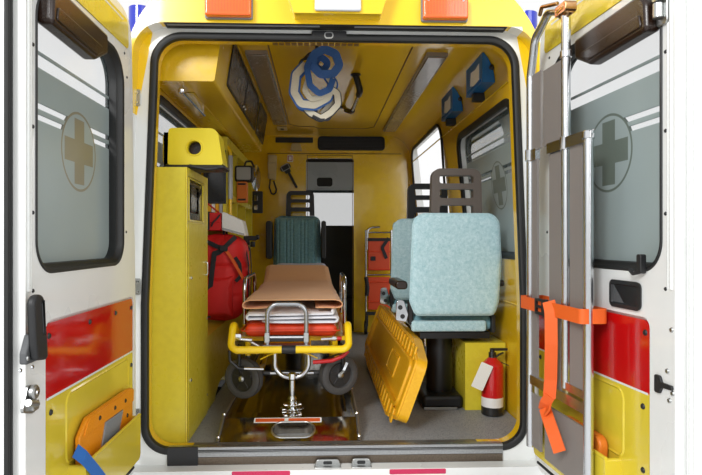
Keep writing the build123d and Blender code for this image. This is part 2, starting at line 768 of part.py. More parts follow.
def rear_axle():
    """The live axle with its leaf springs, drums and propeller shaft."""
    beam = disc(0, REAR_AXLE, TYRE_RADIUS, 45, 1360)
    pot = soft_block((-130, 130), (REAR_AXLE - 150, REAR_AXLE + 150), (TYRE_RADIUS - 140, TYRE_RADIUS + 130), 60)
    drums = [disc(side * 735, REAR_AXLE, TYRE_RADIUS, 130, 70) for side in (-1, 1)]
    springs = []
    for side in (-1, 1):
        x = side * 560
        springs.append(tube([(x, 330, 495), (x, REAR_AXLE, 415), (x, 1650, 495)], 26, 900))
        springs += [block((x - 26, x + 26), (s - 30, s + 30), (490, 639)) for s in (345, 1640)]
    shaft = tube([(0, REAR_AXLE + 140, TYRE_RADIUS + 30), (0, 4560, 470)], 38)
    return join(beam, pot, *drums, *springs, shaft)


def underbody():
    """The fuel tank, silencer, tailpipe and spare wheel under the floor."""
    tank = soft_block((-860, -500), (1750, 2650), (300, 530), 50)
    silencer = soft_block((520, 760), (1900, 2650), (360, 520), 60)
    pipe = tube([(640, 1910, 420), (640, 1600, 340), (300, 1420, 340), (300, 1200, 500), (300, 700, 500),
                 (300, 60, 430)], 30, 60)
    front_pipe = tube([(640, 2640, 430), (640, 3200, 430), (330, 3700, 470), (330, 4560, 470)], 28, 60)
    return join(tank, silencer, pipe, front_pipe)


def front_subframe():
    """The cross member, lower arms and struts that carry the front knuckles."""
    beam = block((-430, 430), (FRONT_AXLE - 90, FRONT_AXLE + 90), (300, 420))
    arms = [
        block((min(side * 420, side * 640), max(side * 420, side * 640)), (FRONT_AXLE - 60, FRONT_AXLE + 60), (255, 300))
        for side in (-1, 1)
    ]
    links = [block((side * 425 - 30, side * 425 + 30), (FRONT_AXLE - 60, FRONT_AXLE + 60), (256, 420))
             for side in (-1, 1)]
    uprights = [block((side * 430 - 35, side * 430 + 35), (4390, 4580), (415, 499)) for side in (-1, 1)]
    return join(beam, *arms, *links, *uprights)


KINGPIN_X = 668.0


def knuckle():
    """The right-hand steering knuckle with its stub axle."""
    body = soft_block((KINGPIN_X - 25, KINGPIN_X + 30), (FRONT_AXLE - 55, FRONT_AXLE + 55), (306, 420), 10)
    stub = disc(KINGPIN_X + 60, FRONT_AXLE, TYRE_RADIUS, 34, 110)
    plate = disc(KINGPIN_X + 36, FRONT_AXLE, TYRE_RADIUS, 120, 12)
    return join(body, stub, plate)


def wheel(length):
    """A right-hand wheel: tyre with grooves, dished rim with holes, and hub."""
    with BuildPart() as made:
        with BuildSketch(Plane.XY):
            with BuildLine():
                FilletPolyline(
                    (-112, 205), (-112, 300), (-96, 345), (96, 345), (112, 300), (112, 205), (95, 196), (95, 182),
                    (70, 172), (52, 120), (30, 112), (30, 50), (56, 44), (56, 0), (14, 0), (14, 95), (-30, 160),
                    (-95, 182), (-95, 196),
                    radius=[8, 30, 22, 22, 30, 8, 2, 2, 8, 12, 8, 6, 6, 0, 0, 20, 20, 2, 2], close=True)
            make_face()
        revolve(axis=Axis.X)
        for offset_x in (-62, -22, 22, 62):
            with BuildSketch(Plane.YZ.offset(offset_x - 4)):
                Circle(360)
                Circle(338, mode=Mode.SUBTRACT)
            extrude(amount=8, mode=Mode.SUBTRACT)
        with BuildSketch(Plane.YZ.offset(-120)):
            with PolarLocations(125, 8):
                Circle(17)
        extrude(amount=240, mode=Mode.SUBTRACT)
    return made.part.translate((WHEEL_X, at(length), TYRE_RADIUS))


save(rear_frame(), "rear_frame")
save(mirrored(side_panel(False)), "side_left")
save(side_panel(True), "side_right")
save(roof(), "roof")
save(floor(), "floor")
save(bulkhead(), "bulkhead")
save(cab_body(), "cab_body")
save(bonnet(), "bonnet")
save(grille(), "grille")
save(headlamps(), "headlamps")
save(front_bumper(), "front_bumper")
save(rear_bumper(), "rear_bumper")
save(join(tail_lamps(), roof_lamps(), beacons()), "signal_lamps")
sliding_pane = keep(glass_shell, side_slab(SLIDING_WINDOW, 600, 1200)).translate((SLIDE_OUT + 8, -SLIDE_BACK, 0))
screen = keep(glass_shell, cross_slab([(x * 0.998, z, r) for x, z, r in WINDSCREEN], 3900, 5100))
save(join(windows(), sliding_pane, screen), "body_glass")
save(join(sliding_door(), sliding_rails()), "sliding_door")
for side, word in ((-1, "left"), (1, "right")):
    save(hang(rear_door(side), side), f"rear_door_{word}")
    save(hang(rear_door_glass(), side), f"rear_door_glass_{word}")
    save(hang(rear_door_trim(), side), f"rear_door_trim_{word}")
    own = mirrored if side < 0 else (lambda shape: shape)
    save(own(cab_door()), f"cab_door_{word}")
    save(own(keep(glass_shell, side_slab(CAB_WINDOW, 500, 1200))), f"cab_window_{word}")
    save(own(knuckle()), f"knuckle_{word}")
    for end, length in (("front", FRONT_AXLE), ("rear", REAR_AXLE)):
        save(own(wheel(length)), f"wheel_{end}_{word}")
save(hang(scoop_stretcher(), 1), "scoop_stretcher")
save(hang(stowage_strap(), 1), "stowage_strap")
save(join(tall_cabinet(), low_cabinets(), wall_unit()), "cabinets")
save(overhead_locker(), "overhead_locker")
seats = [(SEAT_X, SEAT_LENGTHS[0], 1, 1705), (SEAT_X, SEAT_LENGTHS[1], 1, 1705), (HEAD_SEAT_X, 2790.0, -1, 1790)]
save(join(*[seat_frame(*seat) for seat in seats]), "seat_frames")
save(join(*[solid for seat in seats for solid in seat_cushions(*seat)]), "seat_cushions")
save(stretcher_platform(), "stretcher_platform")
save(stretcher_frame(), "stretcher_frame")
save(mattress(), "mattress")
save(bedding(), "bedding")
save(spine_board(), "spine_board")
save(fire_extinguisher(), "fire_extinguisher")
save(soft_block((-810, -504), (960, 1280), (1082, 1622), 50), "red_bag")
save(suction_case(), "suction_case")
save(stair_chair(), "stair_chair")
save(hanging_harness(), "hanging_harness")
save(ceiling_fittings(), "ceiling_fittings")
save(dispensers(), "dispensers")
save(dashboard(), "dashboard")
save(cab_seats(), "cab_seats")
save(engine(), "engine")
save(rear_axle(), "rear_axle")
save(join(underbody(), front_subframe()), "underbody")
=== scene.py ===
"""The looks of a high-roof van ambulance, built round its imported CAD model. Metres, +Y forward, +X to the
vehicle's right, +Z up. Lengths along the van count forward from the plane of the rear door seal."""

from math import cos, exp, pi, radians, sin, tan

import bmesh
import bpy
from mathutils import Matrix, Vector
from mathutils.bvhtree import BVHTree


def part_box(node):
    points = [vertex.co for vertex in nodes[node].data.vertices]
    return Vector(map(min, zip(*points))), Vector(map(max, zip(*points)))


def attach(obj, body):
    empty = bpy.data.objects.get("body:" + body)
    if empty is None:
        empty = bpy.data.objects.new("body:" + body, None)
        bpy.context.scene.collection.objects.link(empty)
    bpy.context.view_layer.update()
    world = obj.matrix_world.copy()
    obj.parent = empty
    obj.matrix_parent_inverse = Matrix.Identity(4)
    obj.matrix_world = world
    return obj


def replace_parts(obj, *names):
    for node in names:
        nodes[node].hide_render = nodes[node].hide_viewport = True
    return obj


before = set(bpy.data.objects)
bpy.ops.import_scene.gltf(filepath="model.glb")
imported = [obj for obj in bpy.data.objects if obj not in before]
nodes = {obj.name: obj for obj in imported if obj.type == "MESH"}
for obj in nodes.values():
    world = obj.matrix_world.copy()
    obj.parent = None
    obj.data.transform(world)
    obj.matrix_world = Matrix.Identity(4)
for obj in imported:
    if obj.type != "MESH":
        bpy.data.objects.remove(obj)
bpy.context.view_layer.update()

# Places shared with the part's source, in metres
REAR_SEAL_Y = -2.30675
DOOR_HINGE = (0.858, -0.078)
DOOR_TURN = {-1: -90.8, 1: 94.0}
WALL_X = 0.886
WALL_BEND = 1.250
WALL_LEAN = 0.0954
SKIN_LEAN = 0.1137
SIDE_WORD = {-1: "left", 1: "right"}
STRETCHER_X = -207  # in millimetres, as the shapes below are drawn


def at(length):
    """The Y of a length measured forward from the rear seal plane."""
    return REAR_SEAL_Y + length


# Camera: the photograph's eye point behind the open doors, turned a little to the right
PHOTO_SIZE = (702, 475)
FOCAL_PIXELS = 569
AXIS_PIXEL = 339.7
HORIZON_PIXEL = 240.0
EYE = (-0.07, at(-2.35), 1.57)
EYE_TURN = -2.0
camera_data = bpy.data.cameras.new("photo_camera")
camera_data.sensor_width = 36.0
camera_data.lens = FOCAL_PIXELS / PHOTO_SIZE[0] * camera_data.sensor_width
camera_data.shift_x = (PHOTO_SIZE[0] / 2 - AXIS_PIXEL) / PHOTO_SIZE[0]
camera_data.shift_y = (HORIZON_PIXEL - PHOTO_SIZE[1] / 2) / PHOTO_SIZE[0]
camera = bpy.data.objects.new("photo_camera", camera_data)
camera.location = EYE
camera.rotation_euler = (pi / 2, 0.0, radians(EYE_TURN))
bpy.context.scene.collection.objects.link(camera)
bpy.context.scene.camera = camera
bpy.context.scene.view_settings.view_transform = "Standard"


# Materials

def linear(hex_colour):
    """An sRGB hex colour as linear red, green, blue and alpha."""
    channels = [int(hex_colour[i:i + 2], 16) / 255 for i in (1, 3, 5)]
    return [c / 12.92 if c <= 0.04045 else ((c + 0.055) / 1.055) ** 2.4 for c in channels] + [1.0]


def node(tree, kind, inputs=None, **settings):
    """Adds one node with its settings, and its inputs as values or as links."""
    made = tree.nodes.new(kind)
    for name, value in settings.items():
        setattr(made, name, value)
    for key, value in (inputs or {}).items():
        if isinstance(value, bpy.types.NodeSocket):
            tree.links.new(value, made.inputs[key])
        else:
            made.inputs[key].default_value = value
    return made


def calc(tree, operation, *values):
    """The result of one Math node."""
    return node(tree, "ShaderNodeMath", dict(enumerate(values)), operation=operation).outputs[0]


def ranged(tree, value, to_low, to_high, low=0.0, high=1.0):
    """A value carried from one range to another."""
    return node(tree, "ShaderNodeMapRange", {
        "Value": value, "From Min": low, "From Max": high, "To Min": to_low, "To Max": to_high}).outputs["Result"]


def noise(tree, place, scale, detail=2.0):
    """The height of a noise texture."""
    return node(tree, "ShaderNodeTexNoise", {"Vector": place, "Scale": scale, "Detail": detail}).outputs["Fac"]


def new_material(name):
    """An empty node material with its shader and its object coordinates."""
    material = bpy.data.materials.new(name)
    material.use_nodes = True
    tree = material.node_tree
    shader = tree.nodes["Principled BSDF"]
    place = node(tree, "ShaderNodeTexCoord").outputs["Object"]
    return material, tree, shader, place


def tinted(tree, factor, first, second):
    """A colour between two hex colours or colour sockets."""
    mix = node(tree, "ShaderNodeMix", {"Factor": factor}, data_type="RGBA")
    for socket, value in ((mix.inputs["A"], first), (mix.inputs["B"], second)):
        if isinstance(value, str):
            socket.default_value = linear(value)
        else:
            tree.links.new(value, socket)
    return mix.outputs["Result"]


def bumped(tree, shader, height, distance, strength=1.0):
    """Bump on the shader from a height, a distance in metres deep."""
    bump = node(tree, "ShaderNodeBump", {"Height": height, "Distance": distance, "Strength": strength})
    tree.links.new(bump.outputs["Normal"], shader.inputs["Normal"])


def finish(name, colour, shade, roughness, grain, depth=0.0, metallic=0.0, coat=0.0, stretch=(1, 1, 1),
           roughness_spread=0.08, sheen=0.0):
    """A surface whose tone and gloss wander between two colours at a grain size in metres."""
    material, tree, shader, place = new_material(name)
    spread = node(tree, "ShaderNodeMapping", {"Vector": place, "Scale": stretch}).outputs["Vector"]
    broad = noise(tree, spread, 1.4, 3.0)
    fine = noise(tree, spread, 1 / grain, 4.0)
    both = calc(tree, "ADD", broad, fine)
    level = ranged(tree, both, 0.0, 1.0, 0.7, 1.3)
    tree.links.new(tinted(tree, level, colour, shade), shader.inputs["Base Color"])
    gloss = node(tree, "ShaderNodeMapRange", {
        "Value": level,
        "To Min": max(roughness - roughness_spread, 0.02),
        "To Max": min(roughness + roughness_spread, 1.0),
    })
    tree.links.new(gloss.outputs["Result"], shader.inputs["Roughness"])
    shader.inputs["Metallic"].default_value = metallic
    shader.inputs["Coat Weight"].default_value = coat
    shader.inputs["Coat Roughness"].default_value = 0.06
    shader.inputs["Sheen Weight"].default_value = sheen
    if depth:
        bumped(tree, shader, fine, depth)
    return material


# Columns: colour, shade, roughness, grain, then what differs from a plain surface
FINISHES = {
    # two-pack van enamel: hard gloss with a clear top, a little road film
    "white_enamel": ("#e9ebe9", "#dfe2e0", 0.28, 0.012, dict(coat=0.5)),
    # glossy gelcoat lining, yellow, faintly wavy
    "yellow_gelcoat": ("#ecc721", "#ddb513", 0.22, 0.060, dict(depth=0.0010, coat=0.4)),
    # laminate boards of the furniture, a paler and greener yellow, satin
    "yellow_laminate": ("#dccb3a", "#cfbd30", 0.33, 0.030, dict(depth=0.0002)),
    # EPDM rubber: near black with a soft sheen
    "epdm_rubber": ("#111212", "#1b1c1c", 0.55, 0.004, dict(depth=0.0003)),
    # moulded ABS with a fine pebble
    "black_abs": ("#17181a", "#202123", 0.48, 0.0016, dict(depth=0.00025)),
    "grey_abs": ("#57595b", "#4d4f51", 0.55, 0.0020, dict(depth=0.00025)),
    "pale_grey_abs": ("#aeb1b2", "#a2a5a6", 0.45, 0.0020, dict(depth=0.00015)),
    "blue_abs": ("#1f6db0", "#175a98", 0.35, 0.0020, dict(depth=0.0001)),
    "orange_abs": ("#e8832a", "#d9711c", 0.45, 0.0040, dict(depth=0.0002)),
    "amber_abs": ("#f0990f", "#e0850a", 0.45, 0.0040, dict(depth=0.0002)),
    # rotomoulded polyethylene: waxy and slightly mottled
    "yellow_polyethylene": ("#f0b81e", "#e4a711", 0.38, 0.012, dict(depth=0.0004)),
    "lemon_polyethylene": ("#f2dc2c", "#e6cd1e", 0.36, 0.010, dict(depth=0.0002)),
    # gelcoat of the door linings
    "lining_yellow": ("#e2cc3c", "#d6bf30", 0.22, 0.050, dict(depth=0.0008, coat=0.5)),
    # powder coat on steel tube
    "yellow_powder_coat": ("#f5cf10", "#ecc208", 0.30, 0.003, dict(depth=0.0001, coat=0.3)),
    "black_powder_coat": ("#131416", "#1d1e20", 0.32, 0.003, dict(depth=0.0001)),
    "red_powder_coat": ("#c4161c", "#ad0f15", 0.30, 0.003, dict(coat=0.3)),
    # metals keep the default index; the grain runs with the polishing
    "chrome_plate": ("#e4e6e8", "#cfd2d5", 0.09, 0.020, dict(metallic=1.0, roughness_spread=0.04)),
    "zinc_plate": ("#c3c5c4", "#a9abaa", 0.34, 0.004, dict(metallic=1.0)),
    "brushed_aluminium": ("#cdd0d2", "#b4b7ba", 0.33, 0.003, dict(metallic=1.0, stretch=(1, 1, 0.06))),
    "mill_aluminium": ("#b6b8b9", "#9b9d9f", 0.42, 0.006, dict(metallic=1.0, depth=0.0001)),
    "bronze_anodised": ("#7b7064", "#675d53", 0.42, 0.006, dict(metallic=1.0, depth=0.0001)),
    "polished_stainless": ("#b9b3a8", "#8d877d", 0.14, 0.030, dict(metallic=1.0, stretch=(1, 0.12, 1), depth=0.0006)),
    "underbody_black": ("#1c1c1c", "#2a2826", 0.80, 0.010, dict(depth=0.0008)),
    # cloths: broken tone, no gloss, a nap that catches the light
    "white_cotton": ("#f1f1f4", "#dfe0e8", 0.85, 0.002, dict(depth=0.0003, sheen=0.2)),
    "lilac_cotton": ("#c0c4dc", "#adb2cf", 0.85, 0.002, dict(depth=0.0003, sheen=0.2)),
    "blue_nylon": ("#2e62a6", "#1f4a86", 0.60, 0.003, dict(depth=0.0004)),
    "cream_nylon": ("#d8d2bf", "#bfb9a6", 0.70, 0.003, dict(depth=0.0004)),
    "red_nylon": ("#ea2420", "#c41616", 0.62, 0.0016, dict(depth=0.0006)),
    "orange_webbing": ("#ee6a22", "#dc5512", 0.60, 0.0016, dict(depth=0.0006, stretch=(1, 1, 3))),
    "blue_webbing": ("#2f74c8", "#2363b0", 0.60, 0.0016, dict(depth=0.0006)),
    "dark_webbing": ("#1b1d20", "#2a2c30", 0.75, 0.0016, dict(depth=0.0006)),
    # coated nylon of the stretcher pad: wipe-clean, slightly wrinkled
    "orange_vinyl": ("#e8481a", "#d23a10", 0.36, 0.040, dict(depth=0.0020)),
    "white_paper": ("#eeeeea", "#e2e2dc", 0.80, 0.004, dict()),
    "magenta_reflective": ("#d21e58", "#be164c", 0.30, 0.004, dict(coat=0.4)),
    "blank_orange_label": ("#e0622a", "#d4551e", 0.45, 0.004, dict()),
    # the locker's end panels catch the sun; a paler gloss laminate
    "locker_laminate": ("#dfb91f", "#d3ab16", 0.24, 0.030, dict(depth=0.0002, coat=0.2)),
    "brown_abs": ("#2b1a10", "#1d110b", 0.30, 0.003, dict(depth=0.0001)),
    "beige_abs": ("#c9b98a", "#bcab7a", 0.42, 0.004, dict(depth=0.0001)),
    "mottled_chrome": ("#b9b2a2", "#4c473f", 0.16, 0.020, dict(metallic=1.0, depth=0.0012)),
    "strip_lens": ("#8a7d6e", "#7c7062", 0.24, 0.020, dict(coat=0.3)),
    "cab_cloth": ("#3a3d40", "#2c2e30", 0.85, 0.003, dict(depth=0.0004, sheen=0.2)),
    "tyre_grey": ("#4a4948", "#3c3b3a", 0.70, 0.006, dict(depth=0.0006)),
    "grey_vinyl": ("#8b8f92", "#7c8083", 0.50, 0.004, dict(depth=0.0003)),
    "shadow_grille": ("#7a5a14", "#6a4c10", 0.60, 0.004, dict()),
    "brass_chrome": ("#c79a6a", "#a98560", 0.20, 0.010, dict(metallic=1.0)),
    # lamp lenses in acrylic
    "amber_acrylic": ("#f0650f", "#e2560a", 0.16, 0.010, dict(coat=0.8)),
    "red_acrylic": ("#b81218", "#a20c12", 0.16, 0.010, dict(coat=0.8)),
    "clear_acrylic": ("#e6e9ee", "#cfd3da", 0.12, 0.010, dict(coat=0.8)),
    "smoked_acrylic": ("#2e1a0a", "#221307", 0.28, 0.050, dict(coat=0.2)),
}
materials = {
    name: finish(name, *row[:4], **row[4])
    for name, row in FINISHES.items()
}


def glass_finish(name, colour, roughness, opacity):
    """Sheet glass or film: tinted, and partly clear by its alpha so that it stays cheap to render."""
    material, tree, shader, place = new_material(name)
    ripple = noise(tree, place, 3.0, 1.0)
    tone = tinted(tree, ripple, colour, colour)
    tree.links.new(tone, shader.inputs["Base Color"])
    low, high = max(roughness - 0.02, 0.0), roughness + 0.03
    gloss = ranged(tree, ripple, low, high)
    tree.links.new(gloss, shader.inputs["Roughness"])
    shader.inputs["Alpha"].default_value = opacity
    shader.inputs["IOR"].default_value = 1.52
    return material


# float glass with its green edge tint; the film is sand-blast vinyl stuck on the pane
materials["float_glass"] = glass_finish("float_glass", "#8fa7a6", 0.02, 0.18)
materials["windscreen_glass"] = glass_finish("windscreen_glass", "#5d6f6c", 0.02, 0.30)


def floor_vinyl():
    """Safety flooring: grey vinyl sprinkled with darker and sparkling grit of 2 to 4 mm."""
    material, tree, shader, place = new_material("safety_vinyl")
    grit = node(tree, "ShaderNodeTexVoronoi", {"Vector": place, "Scale": 320.0}).outputs["Color"]
    chips = node(tree, "ShaderNodeSeparateColor", {"Color": grit}).outputs[0]
    cloud = noise(tree, place, 4.0)
    base = tinted(tree, cloud, "#9c9ea0", "#8b8d90")
    dark = ranged(tree, chips, 0.0, 1.0, 0.70, 0.80)
    tree.links.new(tinted(tree, dark, base, "#6f7174"), shader.inputs["Base Color"])
    shader.inputs["Roughness"].default_value = 0.55
    bumped(tree, shader, chips, 0.0004)
    return material


materials["safety_vinyl"] = floor_vinyl()


def velour(name, pale, mid, dark):
    """Crushed seat velour: pale threads over a deeper ground in patches of about 8 mm, with a nap."""
    material, tree, shader, place = new_material(name)
    patches = node(tree, "ShaderNodeTexNoise", {"Vector": place, "Scale": 60.0, "Detail": 6.0, "Roughness": 0.78})
    threads = node(tree, "ShaderNodeTexNoise", {"Vector": place, "Scale": 420.0, "Detail": 2.0})
    level = node(tree, "ShaderNodeMapRange", {"Value": patches.outputs["Fac"], "From Min": 0.34, "From Max": 0.66})
    tone = tinted(tree, level.outputs["Result"], mid, pale)
    tone = tinted(tree, ranged(tree, threads.outputs["Fac"], 0.0, 1.0, 0.50, 0.80), tone, dark)
    tree.links.new(tone, shader.inputs["Base Color"])
    shader.inputs["Roughness"].default_value = 0.88
    shader.inputs["Sheen Weight"].default_value = 0.35
    bumped(tree, shader, patches.outputs["Fac"], 0.0012)
    return material


materials["pale_velour"] = velour("pale_velour", "#cbe3e8", "#9bc3cb", "#79a9b2")
materials["dark_velour"] = velour("dark_velour", "#86b3bd", "#5f8f9a", "#44707c")


def blanket_wool():
    """Raised wool blanket: camel brown, twill ribs of 4 mm and a fuzzy nap."""
    material, tree, shader, place = new_material("camel_wool")
    turned = node(tree, "ShaderNodeMapping", {"Vector": place, "Rotation": (0, 0, radians(35))}).outputs["Vector"]
    ribs = node(tree, "ShaderNodeTexWave", {"Vector": turned, "Scale": 80.0, "Distortion": 2.0}).outputs["Fac"]
    nap = noise(tree, place, 260.0, 5.0)
    tone = tinted(tree, ribs, "#ffcd9c", "#f2bb88")
    tone = tinted(tree, nap, tone, "#e2a673")
    tree.links.new(tone, shader.inputs["Base Color"])
    shader.inputs["Roughness"].default_value = 0.92
    shader.inputs["Sheen Weight"].default_value = 0.12
    bumped(tree, shader, nap, 0.0018)
    return material


materials["camel_wool"] = blanket_wool()


def zoned(name, base, zones, side=None, grain=0.010, depth=0.0, coat=0.5):
    """One node's finish where colour, roughness and metal change from zone to zone.

    base and each zone start with colour, roughness and metal; a zone adds its limits, as (low, high) pairs, on
    across (distance from the middle), length, height, flare (across plus 0.19 of height), x, up, and out (1 for
    faces that look away from the middle). With a side, places are read on that rear door as if it were closed.
    """
    material, tree, shader, place = new_material(name)
    facing = node(tree, "ShaderNodeTexCoord").outputs["Normal"]
    if side:
        hinge = (side * DOOR_HINGE[0], at(DOOR_HINGE[1]), 0)
        turned = node(tree, "ShaderNodeMapping", {
            "Vector": place, "Location": hinge, "Rotation": (0, 0, radians(DOOR_TURN[side])),
            "Scale": (side, 1, 1)}, vector_type="TEXTURE").outputs["Vector"]
        spot = node(tree, "ShaderNodeSeparateXYZ", {"Vector": turned}).outputs
        across = calc(tree, "ADD", spot["X"], DOOR_HINGE[0])
        length = calc(tree, "ADD", spot["Y"], DOOR_HINGE[1])
    else:
        spot = node(tree, "ShaderNodeSeparateXYZ", {"Vector": place}).outputs
        across = calc(tree, "ABSOLUTE", spot["X"])
        length = calc(tree, "ADD", spot["Y"], -REAR_SEAL_Y)
    normal = node(tree, "ShaderNodeSeparateXYZ", {"Vector": facing}).outputs
    sign = calc(tree, "SIGN", spot["X"])
    leaning = calc(tree, "MULTIPLY_ADD", spot["Z"], 0.19, across)
    reads = {
        "across": across, "length": length, "height": spot["Z"], "x": spot["X"], "up": normal["Z"], "flare": leaning,
        "out": calc(tree, "MULTIPLY", normal["X"], sign),
    }
    film = noise(tree, place, 2.0, 4.0)
    colour, rough, metal = base
    colour = tinted(tree, 0.0, colour, colour)
    for tone, zone_rough, zone_metal, limits in zones:
        mask = None
        for key, (low, high) in limits.items():
            above = calc(tree, "GREATER_THAN", reads[key], low)
            below = calc(tree, "LESS_THAN", reads[key], high)
            inside = calc(tree, "MULTIPLY", above, below)
            mask = inside if mask is None else calc(tree, "MULTIPLY", mask, inside)
        colour = tinted(tree, mask, colour, tone)
        if zone_rough != rough:
            rough = ranged(tree, mask, rough, zone_rough)
        if zone_metal != metal:
            metal = ranged(tree, mask, metal, zone_metal)
    worn = node(tree, "ShaderNodeHueSaturation", {
        "Color": colour,
        "Value": ranged(tree, film, 0.90, 1.06),
    }).outputs["Color"]
    tree.links.new(worn, shader.inputs["Base Color"])
    gloss = ranged(tree, film, -0.05, 0.05)
    gloss = calc(tree, "ADD", gloss, rough)
    tree.links.new(gloss, shader.inputs["Roughness"])
    if isinstance(metal, float):
        shader.inputs["Metallic"].default_value = metal
    else:
        tree.links.new(metal, shader.inputs["Metallic"])
    shader.inputs["Coat Weight"].default_value = coat
    shader.inputs["Coat Roughness"].default_value = 0.06
    if depth:
        fine = noise(tree, place, 1 / grain, 3.0)
        bumped(tree, shader, fine, depth)
    return material


def film_glass(name, side=0):
    """Glass with sand-blast film in bands with clear stripes, and a ringed first-aid cross in darker film.

    With a side it is that rear door's pane, read as if closed; without, the room's two side windows, and the
    windscreen stays clear.
    """
    material, tree, shader, place = new_material(name)
    if side:
        hinge = (side * DOOR_HINGE[0], at(DOOR_HINGE[1]), 0)
        turned = node(tree, "ShaderNodeMapping", {
            "Vector": place, "Location": hinge, "Rotation": (0, 0, radians(DOOR_TURN[side])),
            "Scale": (side, 1, 1)}, vector_type="TEXTURE").outputs["Vector"]
        spot = node(tree, "ShaderNodeSeparateXYZ", {"Vector": turned}).outputs
        run, ring_x, ring_z = spot["X"], (0.443 if side < 0 else 0.404) - DOOR_HINGE[0], 1.852
    else:
        spot = node(tree, "ShaderNodeSeparateXYZ", {"Vector": place}).outputs
        run, ring_x, ring_z = spot["Y"], at(0.61), 1.857
    along = calc(tree, "ADD", run, -ring_x)
    above = calc(tree, "ADD", spot["Z"], -ring_z)
    flat = node(tree, "ShaderNodeCombineXYZ", {"X": along, "Y": above}).outputs["Vector"]
    radius = node(tree, "ShaderNodeVectorMath", {0: flat}, operation="LENGTH").outputs["Value"]
    along = calc(tree, "ABSOLUTE", along)
    above = calc(tree, "ABSOLUTE", above)

    def both(first, second):
        return calc(tree, "MULTIPLY", first, second)

    def within(value, low, high):
        over = calc(tree, "GREATER_THAN", value, low)
        return both(over, calc(tree, "LESS_THAN", value, high))

    def either(first, second):
        return calc(tree, "MAXIMUM", first, second)

    arm = both(within(along, -1, 0.036), within(above, -1, 0.104))
    bar = both(within(along, -1, 0.104), within(above, -1, 0.036))
    mark = either(either(arm, bar), within(radius, 0.119, 0.127))
    frosted = either(within(radius, -1, 0.127), within(spot["Z"], -1, 1.901))
    for low, high in ((1.918, 1.932), (1.950, 2.046), (2.084, 2.092)):
        frosted = either(frosted, within(spot["Z"], low, high))
    if not side:
        room = within(spot["Y"], -9, at(2.9))
        frosted, mark = both(frosted, room), both(mark, room)
    mottle = noise(tree, place, 2.2, 3.0)
    film = tinted(tree, mottle, "#8d9b9b", "#a3b0af")
    # one film, two tones: the cross is paler and warmer on the left door and darker on the right, painted light and
    # shade
    tone = tinted(tree, mark, film, "#857f69" if side < 0 else "#68736a")
    tree.links.new(tinted(tree, frosted, "#7f9294", tone), shader.inputs["Base Color"])
    opacity = ranged(tree, frosted, 0.14 if side else 0.26, 0.95)
    tree.links.new(opacity, shader.inputs["Alpha"])
    gloss = ranged(tree, frosted, 0.02, 0.30)
    tree.links.new(gloss, shader.inputs["Roughness"])
    return material


def wheel_finish(name, centre):
    """Black tyre rubber outside the rim's edge and silver enamel inside it, told apart by radius."""
    material, tree, shader, place = new_material(name)
    local = node(tree, "ShaderNodeMapping", {
        "Vector": place, "Location": [-c for c in centre], "Scale": (1, 1, 1)}).outputs["Vector"]
    parts = node(tree, "ShaderNodeSeparateXYZ", {"Vector": local})
    flat = node(tree, "ShaderNodeCombineXYZ", {"Y": parts.outputs["Y"], "Z": parts.outputs["Z"]}).outputs["Vector"]
    radius = node(tree, "ShaderNodeVectorMath", {0: flat}, operation="LENGTH").outputs["Value"]
    rubber = calc(tree, "GREATER_THAN", radius, 0.2045)
    dust = noise(tree, place, 18.0, 5.0)
    tread = tinted(tree, dust, "#141414", "#2a2826")
    enamel = tinted(tree, dust, "#b9bcbe", "#9fa2a4")
    tree.links.new(tinted(tree, rubber, enamel, tread), shader.inputs["Base Color"])
    gloss = ranged(tree, rubber, 0.35, 0.78)
    tree.links.new(gloss, shader.inputs["Roughness"])
    return material


